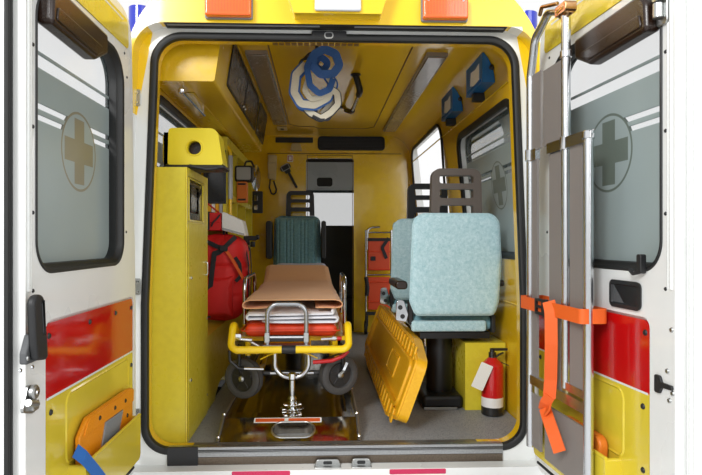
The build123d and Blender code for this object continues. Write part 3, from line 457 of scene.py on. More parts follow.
# Finishes that change from zone to zone of one node: white van enamel outside, yellow gelcoat lining inside
WHITE = ("#e9ebe9", 0.28, 0.0)
LINING = ("#e3b71c", 0.20, 0.0)
YELLOW = ("#f7cf12", 0.26, 0.0)
SKIRT_BANDS = [
    (*YELLOW, {"height": (0.40, 1.14), "out": (0.5, 2)}),
    ("#c41014", 0.24, 0.0, {"height": (1.14, 1.345), "out": (0.5, 2)}),
    (*YELLOW, {"height": (2.08, 2.41), "out": (0.5, 2)}),
]
INSIDE = (*LINING, {"out": (-2, -0.35)})
MIRROR_BLACK = [
    ("#17181a", 0.48, 0.0, {"across": (0.975, 2), "length": (4.2, 4.5), "height": (1.3, 1.8)}),
    ("#17181a", 0.48, 0.0, {"across": (0.968, 2), "length": (3.3, 3.6), "height": (1.12, 1.17)}),
]
ZONED = {
    "rear_frame": (WHITE, [
        *SKIRT_BANDS,
        (*YELLOW, {"height": (2.434, 3), "out": (-0.6, 0.5), "length": (-0.2, -0.02)}),
        (*YELLOW, {"height": (2.08, 2.434), "flare": (1.212, 3), "out": (-2, 0.5), "length": (-0.2, 0.002)}),
        (*LINING, {"length": (0.021, 3), "out": (-2, 0.5)}),
        ("#57534e", 0.5, 0.0, {"height": (0.60, 0.735), "across": (-1, 0.60), "length": (0.018, 0.3)}),
    ], {}),
    "side_left": (WHITE, [*SKIRT_BANDS, INSIDE], {}),
    "side_right": (WHITE, [*SKIRT_BANDS, INSIDE], {}),
    "sliding_door": (WHITE, SKIRT_BANDS, {}),
    "cab_door_left": (WHITE, [*SKIRT_BANDS, *MIRROR_BLACK], {}),
    "cab_door_right": (WHITE, [*SKIRT_BANDS, *MIRROR_BLACK], {}),
    "cab_body": (WHITE, [("#3a2f28", 0.60, 0.0, {"out": (-2, -0.35)})], {}),
    "roof": (WHITE, [
        (*YELLOW, {"height": (2.08, 2.41), "out": (0.5, 2)}),
        INSIDE,
        (*LINING, {"height": (2.0, 2.60), "up": (-2, -0.35)}),
        ("#3a2f28", 0.60, 0.0, {"length": (3.05, 6), "out": (-2, -0.35)}),
        ("#3a2f28", 0.60, 0.0, {"length": (3.05, 6), "up": (-2, -0.35)}),
    ], {}),
    "signal_lamps": (("#f0650f", 0.16, 0.0), [
        ("#b81218", 0.16, 0.0, {"height": (0.5, 2.2)}),
        (*YELLOW, {"across": (-1, 0.222), "length": (-0.1401, 0.1)}),
        ("#d9dde2", 0.12, 0.0, {"across": (-1, 0.12), "length": (-0.3, -0.1401)}),
        ("#1a2fb4", 0.14, 0.0, {"height": (2.426, 3), "length": (0.14, 0.26)}),
        (*WHITE, {"height": (2.3, 2.426), "length": (0.14, 0.26)}),
        ("#1a2fb4", 0.14, 0.0, {"height": (2.73, 3), "length": (2.0, 4.0)}),
        (*WHITE, {"height": (2.3, 2.73), "length": (2.0, 4.0)}),
    ], dict(coat=0.8)),
    "seat_frames": (("#17181a", 0.40, 0.0), [
        # the headrests are taupe, but only the near seat's gets it: the far seat's headrest stays black as painted
        # shade
        ("#59514b", 0.45, 0.0, {"height": (1.60, 2.2), "length": (0.4, 1.1)}),
    ], dict(depth=0.0002, grain=0.002, coat=0.0)),
    "stretcher_frame": (("#f5cf10", 0.30, 0.0), [
        ("#d4d7da", 0.12, 1.0, {"height": (1.112, 1.4), "length": (0.70, 1.30)}),
        ("#a9acb0", 0.28, 0.9, {"height": (1.06, 1.4), "x": (-0.335, -0.115), "length": (0.26, 0.33)}),
        ("#2b2c2e", 0.50, 0.0, {"height": (0.80, 1.012), "length": (0.28, 0.52)}),
        ("#2b2c2e", 0.50, 0.0, {"height": (0.80, 1.012), "length": (1.78, 2.02)}),
        ("#c9ccd0", 0.16, 1.0, {"height": (0.70, 1.075), "x": (-0.31, -0.10), "length": (0.35, 0.41)}),
    ], dict(coat=0.3)),
    "stair_chair": (("#d4d7da", 0.14, 1.0), [
        ("#d8481c", 0.42, 0.0, {"length": (2.8, 2.8686)}),
        ("#1b1b1c", 0.60, 0.0, {"height": (0.70, 0.83)}),
    ], dict(coat=0.0)),
    "suction_case": (("#f2dc2c", 0.34, 0.0), [
        ("#17181a", 0.50, 0.0, {"height": (1.8, 1.8992)}),
    ], dict(depth=0.0002, coat=0.1)),
    "fire_extinguisher": (("#c4161c", 0.26, 0.0), [
        ("#141414", 0.45, 0.0, {"height": (0.6, 0.745)}),
        ("#e9e9e6", 0.40, 0.0, {"height": (0.745, 0.792)}),
        ("#17181a", 0.40, 0.0, {"height": (0.985, 1.1)}),
    ], dict(coat=0.5)),
    "ceiling_fittings": (("#8a7d6e", 0.30, 0.0), [
        ("#8f8f90", 0.25, 0.9, {"x": (0.05, 0.22)}),
        ("#141414", 0.45, 0.0, {"x": (-0.2, -0.05)}),
    ], dict(coat=0.2)),
    "rear_door_left": (WHITE, [
        (*YELLOW, {"height": (0.40, 1.14), "length": (-0.3, -0.069)}),
        ("#c41014", 0.24, 0.0, {"height": (1.14, 1.345), "length": (-0.3, -0.069)}),
        (*YELLOW, {"height": (2.25, 2.46), "length": (-0.3, -0.069)}),
    ], dict(side=-1)),
    "rear_door_right": (WHITE, [
        (*YELLOW, {"height": (0.40, 1.14), "length": (-0.3, -0.069)}),
        ("#c41014", 0.24, 0.0, {"height": (1.14, 1.345), "length": (-0.3, -0.069)}),
        (*YELLOW, {"height": (2.25, 2.46), "length": (-0.3, -0.069)}),
    ], dict(side=1)),
    "rear_door_trim_left": (("#dfc93a", 0.20, 0.0), [
        ("#c20d10", 0.14, 0.0, {"height": (1.14, 1.4)}),
    ], dict(depth=0.0006, grain=0.05, coat=0.6)),
    "rear_door_trim_right": (("#dfc93a", 0.20, 0.0), [
        ("#c20d10", 0.14, 0.0, {"height": (1.14, 1.4)}),
    ], dict(depth=0.0006, grain=0.05, coat=0.6)),
    "scoop_stretcher": (("#d3d6d9", 0.24, 1.0), [
        ("#8d8783", 0.55, 0.2, {"across": (0.660, 0.704), "length": (0.057, 0.067), "height": (1.06, 1.87)}),
        ("#8d8783", 0.55, 0.2, {"across": (0.476, 0.568), "length": (0.057, 0.067), "height": (1.06, 1.87)}),
        ("#8d8783", 0.55, 0.2, {"across": (0.338, 0.426), "length": (0.057, 0.067), "height": (1.10, 1.88)}),
        ("#8d8783", 0.55, 0.2, {"across": (0.630, 0.704), "length": (0.057, 0.067), "height": (1.90, 2.19)}),
        ("#8d8783", 0.55, 0.2, {"across": (0.476, 0.614), "length": (0.057, 0.067), "height": (1.90, 2.18)}),
        ("#8d8783", 0.55, 0.2, {"across": (0.338, 0.602), "length": (0.057, 0.067), "height": (0.79, 0.99)}),
        ("#8d8783", 0.55, 0.2, {"across": (0.632, 0.704), "length": (0.057, 0.067), "height": (0.80, 1.00)}),
    ], dict(side=1, depth=0.0002, grain=0.003, coat=0.0)),
}

# Which plain finish each other carried-over CAD node takes
NODE_FINISH = {
    "white_enamel": ["bonnet"],
    "yellow_gelcoat": ["bulkhead"],
    "yellow_laminate": ["cabinets"],
    "locker_laminate": ["overhead_locker"],
    "safety_vinyl": ["floor"],
    "black_abs": ["grille", "rear_bumper"],
    "grey_abs": ["front_bumper", "dashboard"],
    "cab_cloth": ["cab_seats"],
    "clear_acrylic": ["headlamps"],
    "polished_stainless": ["stretcher_platform"],
    "yellow_polyethylene": ["spine_board"],
    "blue_abs": ["dispensers"],
    "underbody_black": ["engine", "rear_axle", "underbody", "knuckle_left", "knuckle_right"],
    "float_glass": ["cab_window_left", "cab_window_right"],
}
node_materials = {name: zoned(f"{name}_finish", *row[:2], **row[2]) for name, row in ZONED.items()}
node_materials |= {name: materials[word] for word, names in NODE_FINISH.items() for name in names}
node_materials["body_glass"] = film_glass("side_window_film")
for side, word in SIDE_WORD.items():
    node_materials[f"rear_door_glass_{word}"] = film_glass(f"filmed_glass_{word}", side)
    for end in ("front", "rear"):
        low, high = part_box(f"wheel_{end}_{word}")
        node_materials[f"wheel_{end}_{word}"] = wheel_finish(f"wheel_{end}_{word}_rubber", (low + high) / 2)
for name, material in node_materials.items():
    slots = nodes[name].data.materials
    slots.clear()
    slots.append(material)


# Light: an even pale sky and three broad lamps, with a white backdrop for camera, mirror and glass rays
world = bpy.data.worlds.new("pale_sky")
bpy.context.scene.world = world
world.use_nodes = True
sky = world.node_tree
path = node(sky, "ShaderNodeLightPath")
backdrop = calc(sky, "MAXIMUM", path.outputs["Is Camera Ray"], path.outputs["Is Glossy Ray"])
backdrop = calc(sky, "MAXIMUM", backdrop, path.outputs["Is Transmission Ray"])
strength = ranged(sky, backdrop, 0.75, 1.0)
sky.nodes["Background"].inputs["Color"].default_value = (1, 1, 1, 1)
sky.links.new(strength, sky.nodes["Background"].inputs["Strength"])

# Columns: name, place, aim, size, watts
LAMPS = [
    ("key", (-3.6, at(-6.5), 5.2), (0.0, at(1.0), 1.2), 2.2, 465),
    ("fill", (3.5, at(-5.5), 3.4), (0.1, at(1.5), 1.4), 3.5, 145),
    ("front", (3.0, at(10.5), 5.0), (0.0, at(4.0), 1.0), 4.0, 235),
]
for name, place, aim, size, watts in LAMPS:
    lamp = bpy.data.lights.new(name, "AREA")
    lamp.energy = watts
    lamp.size = size
    holder = bpy.data.objects.new(name, lamp)
    holder.location = place
    holder.rotation_euler = (Vector(aim) - Vector(place)).to_track_quat("-Z", "Y").to_euler()
    bpy.context.scene.collection.objects.link(holder)

floor_mesh = bpy.data.meshes.new("studio_floor")
floor_mesh.from_pydata([(-40, -40, 0), (40, -40, 0), (40, 40, 0), (-40, 40, 0)], [], [(0, 1, 2, 3)])
studio_floor = bpy.data.objects.new("studio_floor", floor_mesh)
bpy.context.scene.collection.objects.link(studio_floor)
floor_material, floor_tree, floor_shader, floor_place = new_material("pale_studio_floor")
speckle = noise(floor_tree, floor_place, 3.0)
floor_tree.links.new(tinted(floor_tree, speckle, "#dcdcdc", "#d6d6d6"), floor_shader.inputs["Base Color"])
floor_shader.inputs["Roughness"].default_value = 0.9
floor_mesh.materials.append(floor_material)


# Building kit. A shape is (points, faces) drawn in millimetres as across, length and height; a space places it

VAN = Matrix.Translation((0, REAR_SEAL_Y, 0)) @ Matrix.Scale(0.001, 4)


def door_space(side):
    """Millimetres drawn on a closed right-hand rear door, placed on either door as it stands open."""
    hinge = Vector((side * DOOR_HINGE[0], DOOR_HINGE[1], 0)) * 1000
    swing = Matrix.Rotation(radians(DOOR_TURN[side]), 4, "Z")
    return VAN @ Matrix.Translation(hinge) @ swing @ Matrix.Translation(-hinge) @ Matrix.Diagonal((side, 1, 1, 1))


def filleted(rows, closed=True, steps=6):
    """The points of straight runs whose corners, given as (point, radius), are rounded."""
    points = []
    for index, (corner, radius) in enumerate(rows):
        corner = Vector(corner)
        ends = not closed and index in (0, len(rows) - 1)
        back = Vector(rows[index - 1][0]) - corner
        ahead = Vector(rows[(index + 1) % len(rows)][0]) - corner
        half = 0 if ends or radius <= 0 else back.angle(ahead) / 2
        if half == 0 or half > pi / 2 - 0.01:
            points.append(corner)
            continue
        centre = corner + (back.normalized() + ahead.normalized()).normalized() * radius / sin(half)
        start = corner + back.normalized() * radius / tan(half) - centre
        end = corner + ahead.normalized() * radius / tan(half) - centre
        turn = start.angle(end)
        for step in range(steps + 1):
            share = step / steps
            points.append(centre + (start * sin((1 - share) * turn) + end * sin(share * turn)) / sin(turn))
    return points


def outline(rows, steps=6):
    """A closed flat outline from (a, b, corner radius) rows."""
    return filleted([((a, b), radius) for a, b, radius in rows], steps=steps)


def rect(a0, a1, b0, b1, radius):
    """The outline rows of a rectangle with equal corners."""
    return [(a0, b0, radius), (a1, b0, radius), (a1, b1, radius), (a0, b1, radius)]


def across(a, b, t):
    return Vector((a, t, b))


def sideways(a, b, t):
    return Vector((t, a, b))


def level(a, b, t):
    return Vector((a, b, t))


def slab(points, low, high, place=across):
    """A flat outline given thickness from low to high along the outline's own normal."""
    count = len(points)
    verts = [place(a, b, t) for t in (low, high) for a, b in points]
    faces = [list(range(count)), list(range(count, 2 * count))]
    faces += [[i, (i + 1) % count, count + (i + 1) % count, count + i] for i in range(count)]
    return verts, faces


def plate(rows, low, high, place=across):
    """A slab from the outline's rows of (a, b, corner radius)."""
    return slab(outline(rows), low, high, place)


def block(x, s, z, radius=0.0, place=across):
    """A box whose corners are rounded in the plane of its outline."""
    spans = {across: (x, z, s), sideways: (s, z, x), level: (x, s, z)}[place]
    (a0, a1), (b0, b1), depth = spans
    rows = rect(a0, a1, b0, b1, radius)
    return slab(outline(rows, 4), *depth, place)


def hoop(points, profile, place=across):
    """A band along a closed outline; the profile's rows are how far inwards, and depth."""
    points = [p for i, p in enumerate(points) if (p - points[i - 1]).length > 0.01]
    count = len(points)
    turned = sum(points[i - 1].x * p.y - p.x * points[i - 1].y for i, p in enumerate(points))
    inward = 1 if turned > 0 else -1
    verts, faces = [], []
    for inset, depth in profile:
        for i, point in enumerate(points):
            before = (point - points[i - 1]).normalized()
            after = (points[(i + 1) % count] - point).normalized()
            along = (before + after).normalized()
            normal = Vector((-along.y, along.x)) * inward
            reach = inset / max(along.dot(before), 0.5)
            verts.append(place(*(point + normal * reach), depth))
    rows = len(profile)
    for row in range(rows):
        following = (row + 1) % rows
        for i in range(count):
            j = (i + 1) % count
            faces.append([row * count + i, row * count + j, following * count + j, following * count + i])
    return verts, faces


def sweep(path, section, up=None, closed=False):
    """A flat section of (across, up) points carried along a path."""
    count, size, normal = len(path), len(section), up and Vector(up)
    verts, faces = [], []
    for i, point in enumerate(path):
        behind = path[i - 1] if i or closed else point
        beyond = path[(i + 1) % count] if i < count - 1 or closed else point
        tangent = (beyond - behind).normalized()
        normal = normal or tangent.orthogonal()
        normal = (normal - tangent * normal.dot(tangent)).normalized()
        verts += [point + tangent.cross(normal) * a + normal * b for a, b in section]
    for i in range(count if closed else count - 1):
        j = (i + 1) % count
        faces += [[i * size + k, i * size + (k + 1) % size, j * size + (k + 1) % size, j * size + k]
                  for k in range(size)]
    if not closed:
        faces += [list(range(size)), list(range((count - 1) * size, count * size))]
    return verts, faces


def pipe(points, radius, bend=0.0, sides=12, closed=False):
    """A round bar along points with rounded bends."""
    section = [(radius * cos(2 * pi * k / sides), radius * sin(2 * pi * k / sides)) for k in range(sides)]
    return sweep(filleted([(p, bend) for p in points], closed), section, closed=closed)


def strap(points, width, thick, bend=20.0, up=(0, 0, 1), closed=False):
    """A flat band along points; up is the way its face looks at the start."""
    section = [(-width / 2, -thick / 2), (width / 2, -thick / 2), (width / 2, thick / 2), (-width / 2, thick / 2)]
    return sweep(filleted([(p, bend) for p in points], closed, 5), section, up, closed)


def spin(profile, centre, axis="z", sides=24):
    """A profile of (radius, distance along the axis) turned round an axis."""
    verts, faces = [], []
    for radius, along in profile:
        for k in range(sides):
            u, v = radius * cos(2 * pi * k / sides), radius * sin(2 * pi * k / sides)
            verts.append(Vector(centre) + Vector({"x": (along, u, v), "y": (u, along, v), "z": (u, v, along)}[axis]))
    for row in range(len(profile) - 1):
        for k in range(sides):
            j = (k + 1) % sides
            faces.append([row * sides + k, row * sides + j, (row + 1) * sides + j, (row + 1) * sides + k])
    faces += [list(range(sides)), list(range((len(profile) - 1) * sides, len(profile) * sides))]
    return verts, faces


def moved(shape, matrix):
    """A shape in another place."""
    return [matrix @ Vector(v) for v in shape[0]], shape[1]


SHARP_ANGLE, BEVEL_ANGLE = 38.0, 40.0


def shown(name, mesh, material, body, angle=SHARP_ANGLE, bevel=0.0):
    """Cleans a mesh, gives it its finish and makes it a piece that rides on a body."""
    work = bmesh.new()
    work.from_mesh(mesh)
    bmesh.ops.remove_doubles(work, verts=work.verts, dist=1e-6)
    bmesh.ops.dissolve_degenerate(work, edges=work.edges, dist=1e-7)
    bmesh.ops.recalc_face_normals(work, faces=work.faces)
    work.to_mesh(mesh)
    work.free()
    for polygon in mesh.polygons:
        polygon.use_smooth = True
    mesh.set_sharp_from_angle(angle=radians(angle))
    mesh.materials.clear()
    mesh.materials.append(materials[material])
    made = bpy.data.objects.new(name, mesh)
    bpy.context.scene.collection.objects.link(made)
    if bevel:
        edge = made.modifiers.new("edge_radius", "BEVEL")
        edge.width, edge.segments = bevel / 1000, 2
        edge.limit_method, edge.angle_limit = "ANGLE", radians(BEVEL_ANGLE)
    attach(made, body)
    return made


def piece(name, shapes, material, body="body", space=VAN, bevel=0.0, angle=SHARP_ANGLE):
    """One piece from shapes in millimetres."""
    verts, faces = [], []
    for points, rings in shapes:
        start = len(verts)
        verts += [space @ Vector(p) for p in points]
        faces += [[start + i for i in ring] for ring in rings]
    mesh = bpy.data.meshes.new(name)
    mesh.from_pydata(verts, [], faces)
    return shown(name, mesh, material, body, angle, bevel)


def node_group(name, sockets):
    """An empty Geometry Nodes tree with named inputs, and its input node."""
    tree = bpy.data.node_groups.new(name, "GeometryNodeTree")
    tree.interface.new_socket("Geometry", in_out="INPUT", socket_type="NodeSocketGeometry")
    for label, kind in sockets:
        tree.interface.new_socket(label, in_out="INPUT", socket_type=f"NodeSocket{kind}")
    tree.interface.new_socket("Geometry", in_out="OUTPUT", socket_type="NodeSocketGeometry")
    return tree, node(tree, "NodeGroupInput").outputs


def closed_group(tree, instances, finish):
    """Ends a tree: real geometry with its material."""
    real = node(tree, "GeometryNodeRealizeInstances", {"Geometry": instances}).outputs[0]
    painted = node(tree, "GeometryNodeSetMaterial", {"Geometry": real, "Material": finish}).outputs[0]
    node(tree, "NodeGroupOutput", {"Geometry": painted})
    return tree


def heads_tree():
    """Small domed heads at every point of a mesh, facing one way: screws, plugs, rivets and knobs."""
    tree, given = node_group("round_heads", [
        ("Radius", "Float"), ("Depth", "Float"), ("Facing", "Vector"), ("Finish", "Material")])
    top = calc(tree, "MULTIPLY", given["Radius"], 0.7)
    head = node(tree, "GeometryNodeMeshCone", {
        "Vertices": 14, "Radius Top": top, "Radius Bottom": given["Radius"], "Depth": given["Depth"]}).outputs["Mesh"]
    turn = node(tree, "FunctionNodeAlignEulerToVector", {"Vector": given["Facing"]}, axis="Z").outputs["Rotation"]
    put = node(tree, "GeometryNodeInstanceOnPoints", {
        "Points": given["Geometry"], "Instance": head, "Rotation": turn}).outputs["Instances"]
    return closed_group(tree, put, given["Finish"])


def slats_tree():
    """A row of equal blocks: louvres, ribs, vents, teeth."""
    tree, given = node_group("slat_row", [
        ("Count", "Int"), ("Step", "Vector"), ("Size", "Vector"), ("Finish", "Material")])
    bar = node(tree, "GeometryNodeMeshCube", {"Size": given["Size"]}).outputs["Mesh"]
    line = node(tree, "GeometryNodeMeshLine", {"Count": given["Count"], "Offset": given["Step"]}).outputs["Mesh"]
    put = node(tree, "GeometryNodeInstanceOnPoints", {"Points": line, "Instance": bar}).outputs["Instances"]
    return closed_group(tree, put, given["Finish"])


HEADS, SLATS = heads_tree(), slats_tree()


def repeated(name, tree, points, values, material, body="body", space=VAN, bevel=0.0):
    """Bakes one of the trees over points, in millimetres, into a piece."""
    seeds = bpy.data.meshes.new(f"{name}_places")
    seeds.from_pydata([tuple(p) for p in points], [], [])
    holder = bpy.data.objects.new(f"{name}_holder", seeds)
    bpy.context.scene.collection.objects.link(holder)
    maker = holder.modifiers.new("maker", "NODES")
    maker.node_group = tree
    sockets = {item.name: item.identifier for item in tree.interface.items_tree if item.in_out == "INPUT"}
    for label, value in {**values, "Finish": materials[material]}.items():
        maker[sockets[label]] = value
    graph = bpy.context.evaluated_depsgraph_get()
    mesh = bpy.data.meshes.new_from_object(holder.evaluated_get(graph))
    holder.modifiers.remove(maker)
    bpy.data.objects.remove(holder)
    mesh.name = name
    mesh.transform(space)
    return shown(name, mesh, material, body, SHARP_ANGLE, bevel)


def heads(name, points, radius, depth, facing, material, body="body", space=VAN):
    return repeated(name, HEADS, points, {"Radius": float(radius), "Depth": float(depth),
        "Facing": tuple(float(v) for v in facing)}, material, body, space)


def slats(name, start, count, step, size, material, body="body", space=VAN, bevel=0.0):
    placed = space @ Matrix.Translation(start)
    return repeated(name, SLATS, [], {"Count": count, "Step": tuple(map(float, step)),
        "Size": tuple(map(float, size))}, material, body, placed, bevel)


# Rear doors: everything is drawn on a closed right-hand door and mirrored for the left

DOOR_WINDOW = [(88, 1488, 80), (705, 1488, 80), (705, 2245, 110), (88, 2245, 100)]
for side, word in SIDE_WORD.items():
    door, here = f"rear_door_{word}", door_space(side)
    pane = outline(DOOR_WINDOW, 10)
    # black rubber round the pane, with its lip on both faces of the leaf
    piece(f"{word}_window_rubber", [hoop(pane, [(0.3, -56), (16, -56), (18, -50), (16, -30), (8, -24), (3, -11),
        (-6, -8), (-9, -11.5), (0.3, -12)]), hoop(pane, [(0.3, -62), (14, -62), (14, -70), (4, -74), (-10, -72),
        (-10, -70.2), (0.3, -70)])], "epdm_rubber", door, here)
    piece(f"{word}_door_header_panel", [plate([(225, 2287, 20), (762, 2287, 20), (752, 2396, 24),
        (240, 2396, 24)], -12, -8.5)], "lining_yellow", door, here, bevel=1.5)
    # the folded sun blind's moulded box over the top of the window
    piece(f"{word}_blind_box", [plate([(94, 2136, 14), (380, 2130, 16), (470, 2176, 18), (474, 2240, 14),
        (100, 2246, 46)], -20, 26)], "brown_abs", door, here, bevel=9)
    piece(f"{word}_blind_lip", [plate([(112, 2150, 8), (378, 2144, 8), (450, 2182, 10), (120, 2188, 10)], 24,
        30)], "brown_abs", door, here, bevel=3)
    piece(f"{word}_door_inner_bead", [pipe([(46, -13, 1440), (46, -13, 2300), (120, -13, 2380),
        (700, -13, 2380)], 6, 60), pipe([(60, -14, 1440), (60, -14, 2262)], 4, 0)], "white_enamel", door, here)
    heads(f"{word}_door_plugs", [(68, -12, 2070), (68, -12, 1860), (68, -12, 1640), (68, -12, 1440),
        (722, -12, 2262), (748, -12, 2180), (740, -12, 1600)], 5.5, 2.5, (0, 1, 0), "black_abs", door, here)
    plugs = {
        -1: [(155, 1310), (420, 1310), (640, 1310), (800, 1310), (165, 1100), (800, 1090), (800, 900), (800, 748)],
        1: [(155, 1310), (420, 1310), (640, 1310), (165, 1100), (165, 920), (800, 1110), (800, 900), (165, 748)],
    }[side]
    heads(f"{word}_trim_plugs", [(x, -14, z) for x, z in plugs], 9, 4, (0, 1, 0), "black_abs", door, here)
    # the lining's pressed field and the pocket's rolled lip
    piece(f"{word}_trim_field_bead", [hoop(outline([(262, 925, 24), (762, 925, 24), (762, 1118, 26),
        (262, 1118, 26)]), [(0, -14), (-5, -11), (-10, -14)])], "lining_yellow", door, here)
    piece(f"{word}_pocket_lip", [pipe([(270, 34, 914), (750, 34, 914)], 6, 0)], "lining_yellow", door, here)
    piece(f"{word}_trim_seam", [block((143, 814), (-14.2, -12.8), (1137, 1143))], "white_enamel", door, here)
    # sill gasket along the leaf's lower edge
    piece(f"{word}_door_bottom_gasket", [pipe([(40, -14, 688), (820, -14, 688)], 7, 0, 8)], "epdm_rubber", door,
        here)
    for z in (850, 1380, 2150):
        piece(f"{word}_hinge_{z}", [spin([(6, -32), (9, -30), (9, 30), (6, 32)], (858, -78, z), "z", 14),
            plate([(846, z - 26, 6), (853, z - 26, 0), (853, z + 26, 0), (846, z + 26, 6)], -78, -70)],
            "zinc_plate", door, here, bevel=0.8)

left, right = door_space(-1), door_space(1)
piece("left_edge_rubber", [pipe([(10, -45, 690), (10, -45, 2404)], 5.5, 0, 8),
    pipe([(18, -46, 690), (18, -46, 2404)], 3.6, 0, 8), pipe([(25, -45, 690), (25, -45, 2404)], 5.5, 0, 8),
    block((5, 29), (-49.8, -46), (690, 2404))], "epdm_rubber", "rear_door_left", left)
piece("left_lever_base", [plate([(2, 1264, 8), (60, 1264, 6), (60, 1332, 6), (26, 1336, 8), (2, 1292, 6)], -12,
    6)], "grey_abs", "rear_door_left", left, bevel=3)
piece("left_lever", [plate([(18, 1272, 12), (78, 1262, 12), (74, 1310, 20), (56, 1434, 26), (2, 1434, 24),
    (10, 1330, 20)], 4, 24)], "black_abs", "rear_door_left", left, bevel=6)
piece("left_lever_oval", [plate([(50, 1330, 10), (62, 1330, 8), (52, 1418, 10), (40, 1418, 10)], 23, 25.5)],
    "grey_abs", "rear_door_left", left, bevel=1)
heads("left_lever_screw", [(9, 6, 1280)], 7, 3, (0, 1, 0), "zinc_plate", "rear_door_left", left)
piece("left_latch", [plate([(4, 1146, 12), (70, 1126, 16), (76, 1178, 16), (46, 1210, 22), (30, 1204, 10)], -12,
    -5), spin([(10, -5), (19, -3), (19, 5), (14, 9), (6, 9)], (48, 0, 1186), "y", 24),
    pipe([(56, 3, 1154), (10, 6, 1170)], 9, 0, 12), block((38, 66), (-5, 5), (1140, 1164), 5)], "zinc_plate",
    "rear_door_left", left, bevel=1.5)
heads("left_latch_screws", [(8, -12, 1250), (65, -12, 1246), (48, 9, 1186)], 6, 3, (0, 1, 0), "chrome_plate",
    "rear_door_left", left)
# the orange head block and its grey pad, stowed in the left pocket
piece("head_block_board", [plate([(300, 800, 10), (744, 800, 10), (752, 1016, 16), (700, 1022, 6),
    (352, 1028, 40), (292, 984, 20)], -6, 10)], "amber_abs", "rear_door_left", left, bevel=4)
piece("head_block_flap", [plate([(316, 980, 4), (748, 966, 4), (750, 1014, 14), (700, 1020, 6),
    (352, 1026, 38)], 9, 14)], "amber_abs", "rear_door_left", left, bevel=1.5)
piece("head_block_pad", [slab([Vector(p) for p in ((430, 860), (566, 856), (640, 966), (480, 972))], 9, 15)],
    "grey_vinyl", "rear_door_left", left, bevel=2)
heads("head_block_pins", [(430, 14, 1002), (560, 14, 996), (660, 14, 992), (690, 10, 930)], 8, 3, (0, 1, 0),
    "brown_abs", "rear_door_left", left)
piece("pocket_strap", [strap([(240, 20, 968), (256, 40, 940), (330, 50, 862), (396, 54, 794), (428, 54, 750)],
    44, 2, 12, (0, 1, 0))], "blue_webbing", "rear_door_left", left)
PULL = outline(rect(168, 317, 1369, 1448, 16))
piece("right_pull_recess", [hoop(PULL, [(0, -12), (-2, -6), (10, -5), (14, -12)])], "black_abs",
    "rear_door_right", right)
piece("right_pull_hollow", [slab(PULL, -11.8, -11)], "black_powder_coat", "rear_door_right", right)
piece("right_pull_cheek", [slab([Vector(p) for p in ((304, 1382), (304, 1436), (250, 1382))], -11.2, -10.4)],
    "grey_abs", "rear_door_right", right)
piece("right_lock_dart", [plate([(106, 1158, 6), (106, 1206, 6), (84, 1206, 8), (76, 1190, 4), (36, 1190, 4),
    (36, 1178, 4), (76, 1176, 4), (84, 1158, 8)], -12, -5)], "black_abs", "rear_door_right", right, bevel=1.5)
heads("right_lock_screws", [(60, -12, 1224), (40, -12, 1170), (52, -12, 1148), (44, -12, 1335)], 7, 4,
    (0, 1, 0), "zinc_plate", "rear_door_right", right)
piece("right_top_latch", [block((52, 96), (-12, -4), (2142, 2240), 10), pipe([(74, 6, 2160), (74, 6, 2200)], 13,
    0, 12), block((60, 88), (-4, 14), (2204, 2232), 8), pipe([(56, 8, 2214), (92, 8, 2214)], 5, 0)],
    "zinc_plate", "rear_door_right", right, bevel=2)
piece("right_edge_bead", [pipe([(16, -45, 690), (16, -45, 2400)], 5, 0, 8),
    pipe([(27, -45, 690), (27, -45, 2400)], 3.5, 0, 8), block((5, 30), (-49.8, -46), (690, 2404))],
    "white_enamel", "rear_door_right", right)
piece("window_hook", [block((144, 164), (-10, 8), (1476, 1530), 6),
    pipe([(154, 2, 1480), (176, 10, 1474), (198, 6, 1486)], 5, 8)], "black_abs", "rear_door_right", right,
    bevel=2)
piece("right_pocket_block", [plate([(330, 790, 20), (560, 790, 20), (575, 958, 30), (318, 958, 30)], -6, 24)],
    "orange_abs", "rear_door_right", right, bevel=6)
# webbing round the scoop stretcher: an endless band with a buckle, and its loose tail tied in a knot
BAND = outline(rect(304, 750, 4, 95, 16))
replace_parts(piece("scoop_webbing", [hoop(BAND, [(0, 1313), (0, 1359), (2.4, 1359), (2.4, 1313)], level)],
    "orange_webbing", "rear_door_right", right), "stowage_strap")
piece("scoop_buckle", [hoop(outline(rect(540, 600, 1308, 1364, 6)), [(0, 95), (0, 104), (9, 104), (9, 95)]),
    block((512, 536), (94, 106), (1302, 1366), 8), pipe([(548, 100, 1336), (592, 100, 1336)], 5, 0)],
    "black_abs", "rear_door_right", right, bevel=1.5)
TO_REAR = (-0.8, 0.6, 0)
piece("scoop_webbing_tail", [strap([(500, 100, 1362), (478, 103, 1330), (474, 104, 1220), (486, 100, 1100),
    (484, 106, 1040)], 42, 2.4, 40, TO_REAR), strap([(482, 106, 1046), (500, 113, 1016), (530, 104, 984)], 36,
    5, 12, TO_REAR), strap([(530, 102, 990), (500, 112, 984), (474, 108, 1012)], 30, 6, 12, TO_REAR),
    strap([(512, 108, 998), (480, 112, 972), (446, 110, 932), (412, 106, 884)], 42, 2.4, 20, TO_REAR)],
    "orange_webbing", "rear_door_right", right)
piece("scoop_clamp", [block((418, 492), (44, 84), (2318, 2352), 8),
    spin([(19, -30), (23, -24), (23, 24), (19, 30)], (455, 62, 2332), "x"),
    pipe([(470, 84, 2360), (560, 96, 2384), (600, 84, 2372)], 7, 20)], "brass_chrome", "rear_door_right", right,
    bevel=2)
piece("scoop_joint_collars", [spin([(17, -22), (20, -20), (20, 20), (17, 22)], (456, 62, 1890), "z"),
    spin([(17, -22), (20, -20), (20, 20), (17, 22)], (724, 62, 1890), "z"),
    spin([(17, -12), (19, -10), (19, 10), (17, 12)], (456, 62, 2186), "z"),
    spin([(17, -12), (19, -10), (19, 10), (17, 12)], (318, 62, 1893), "z")], "chrome_plate", "rear_door_right",
    right)

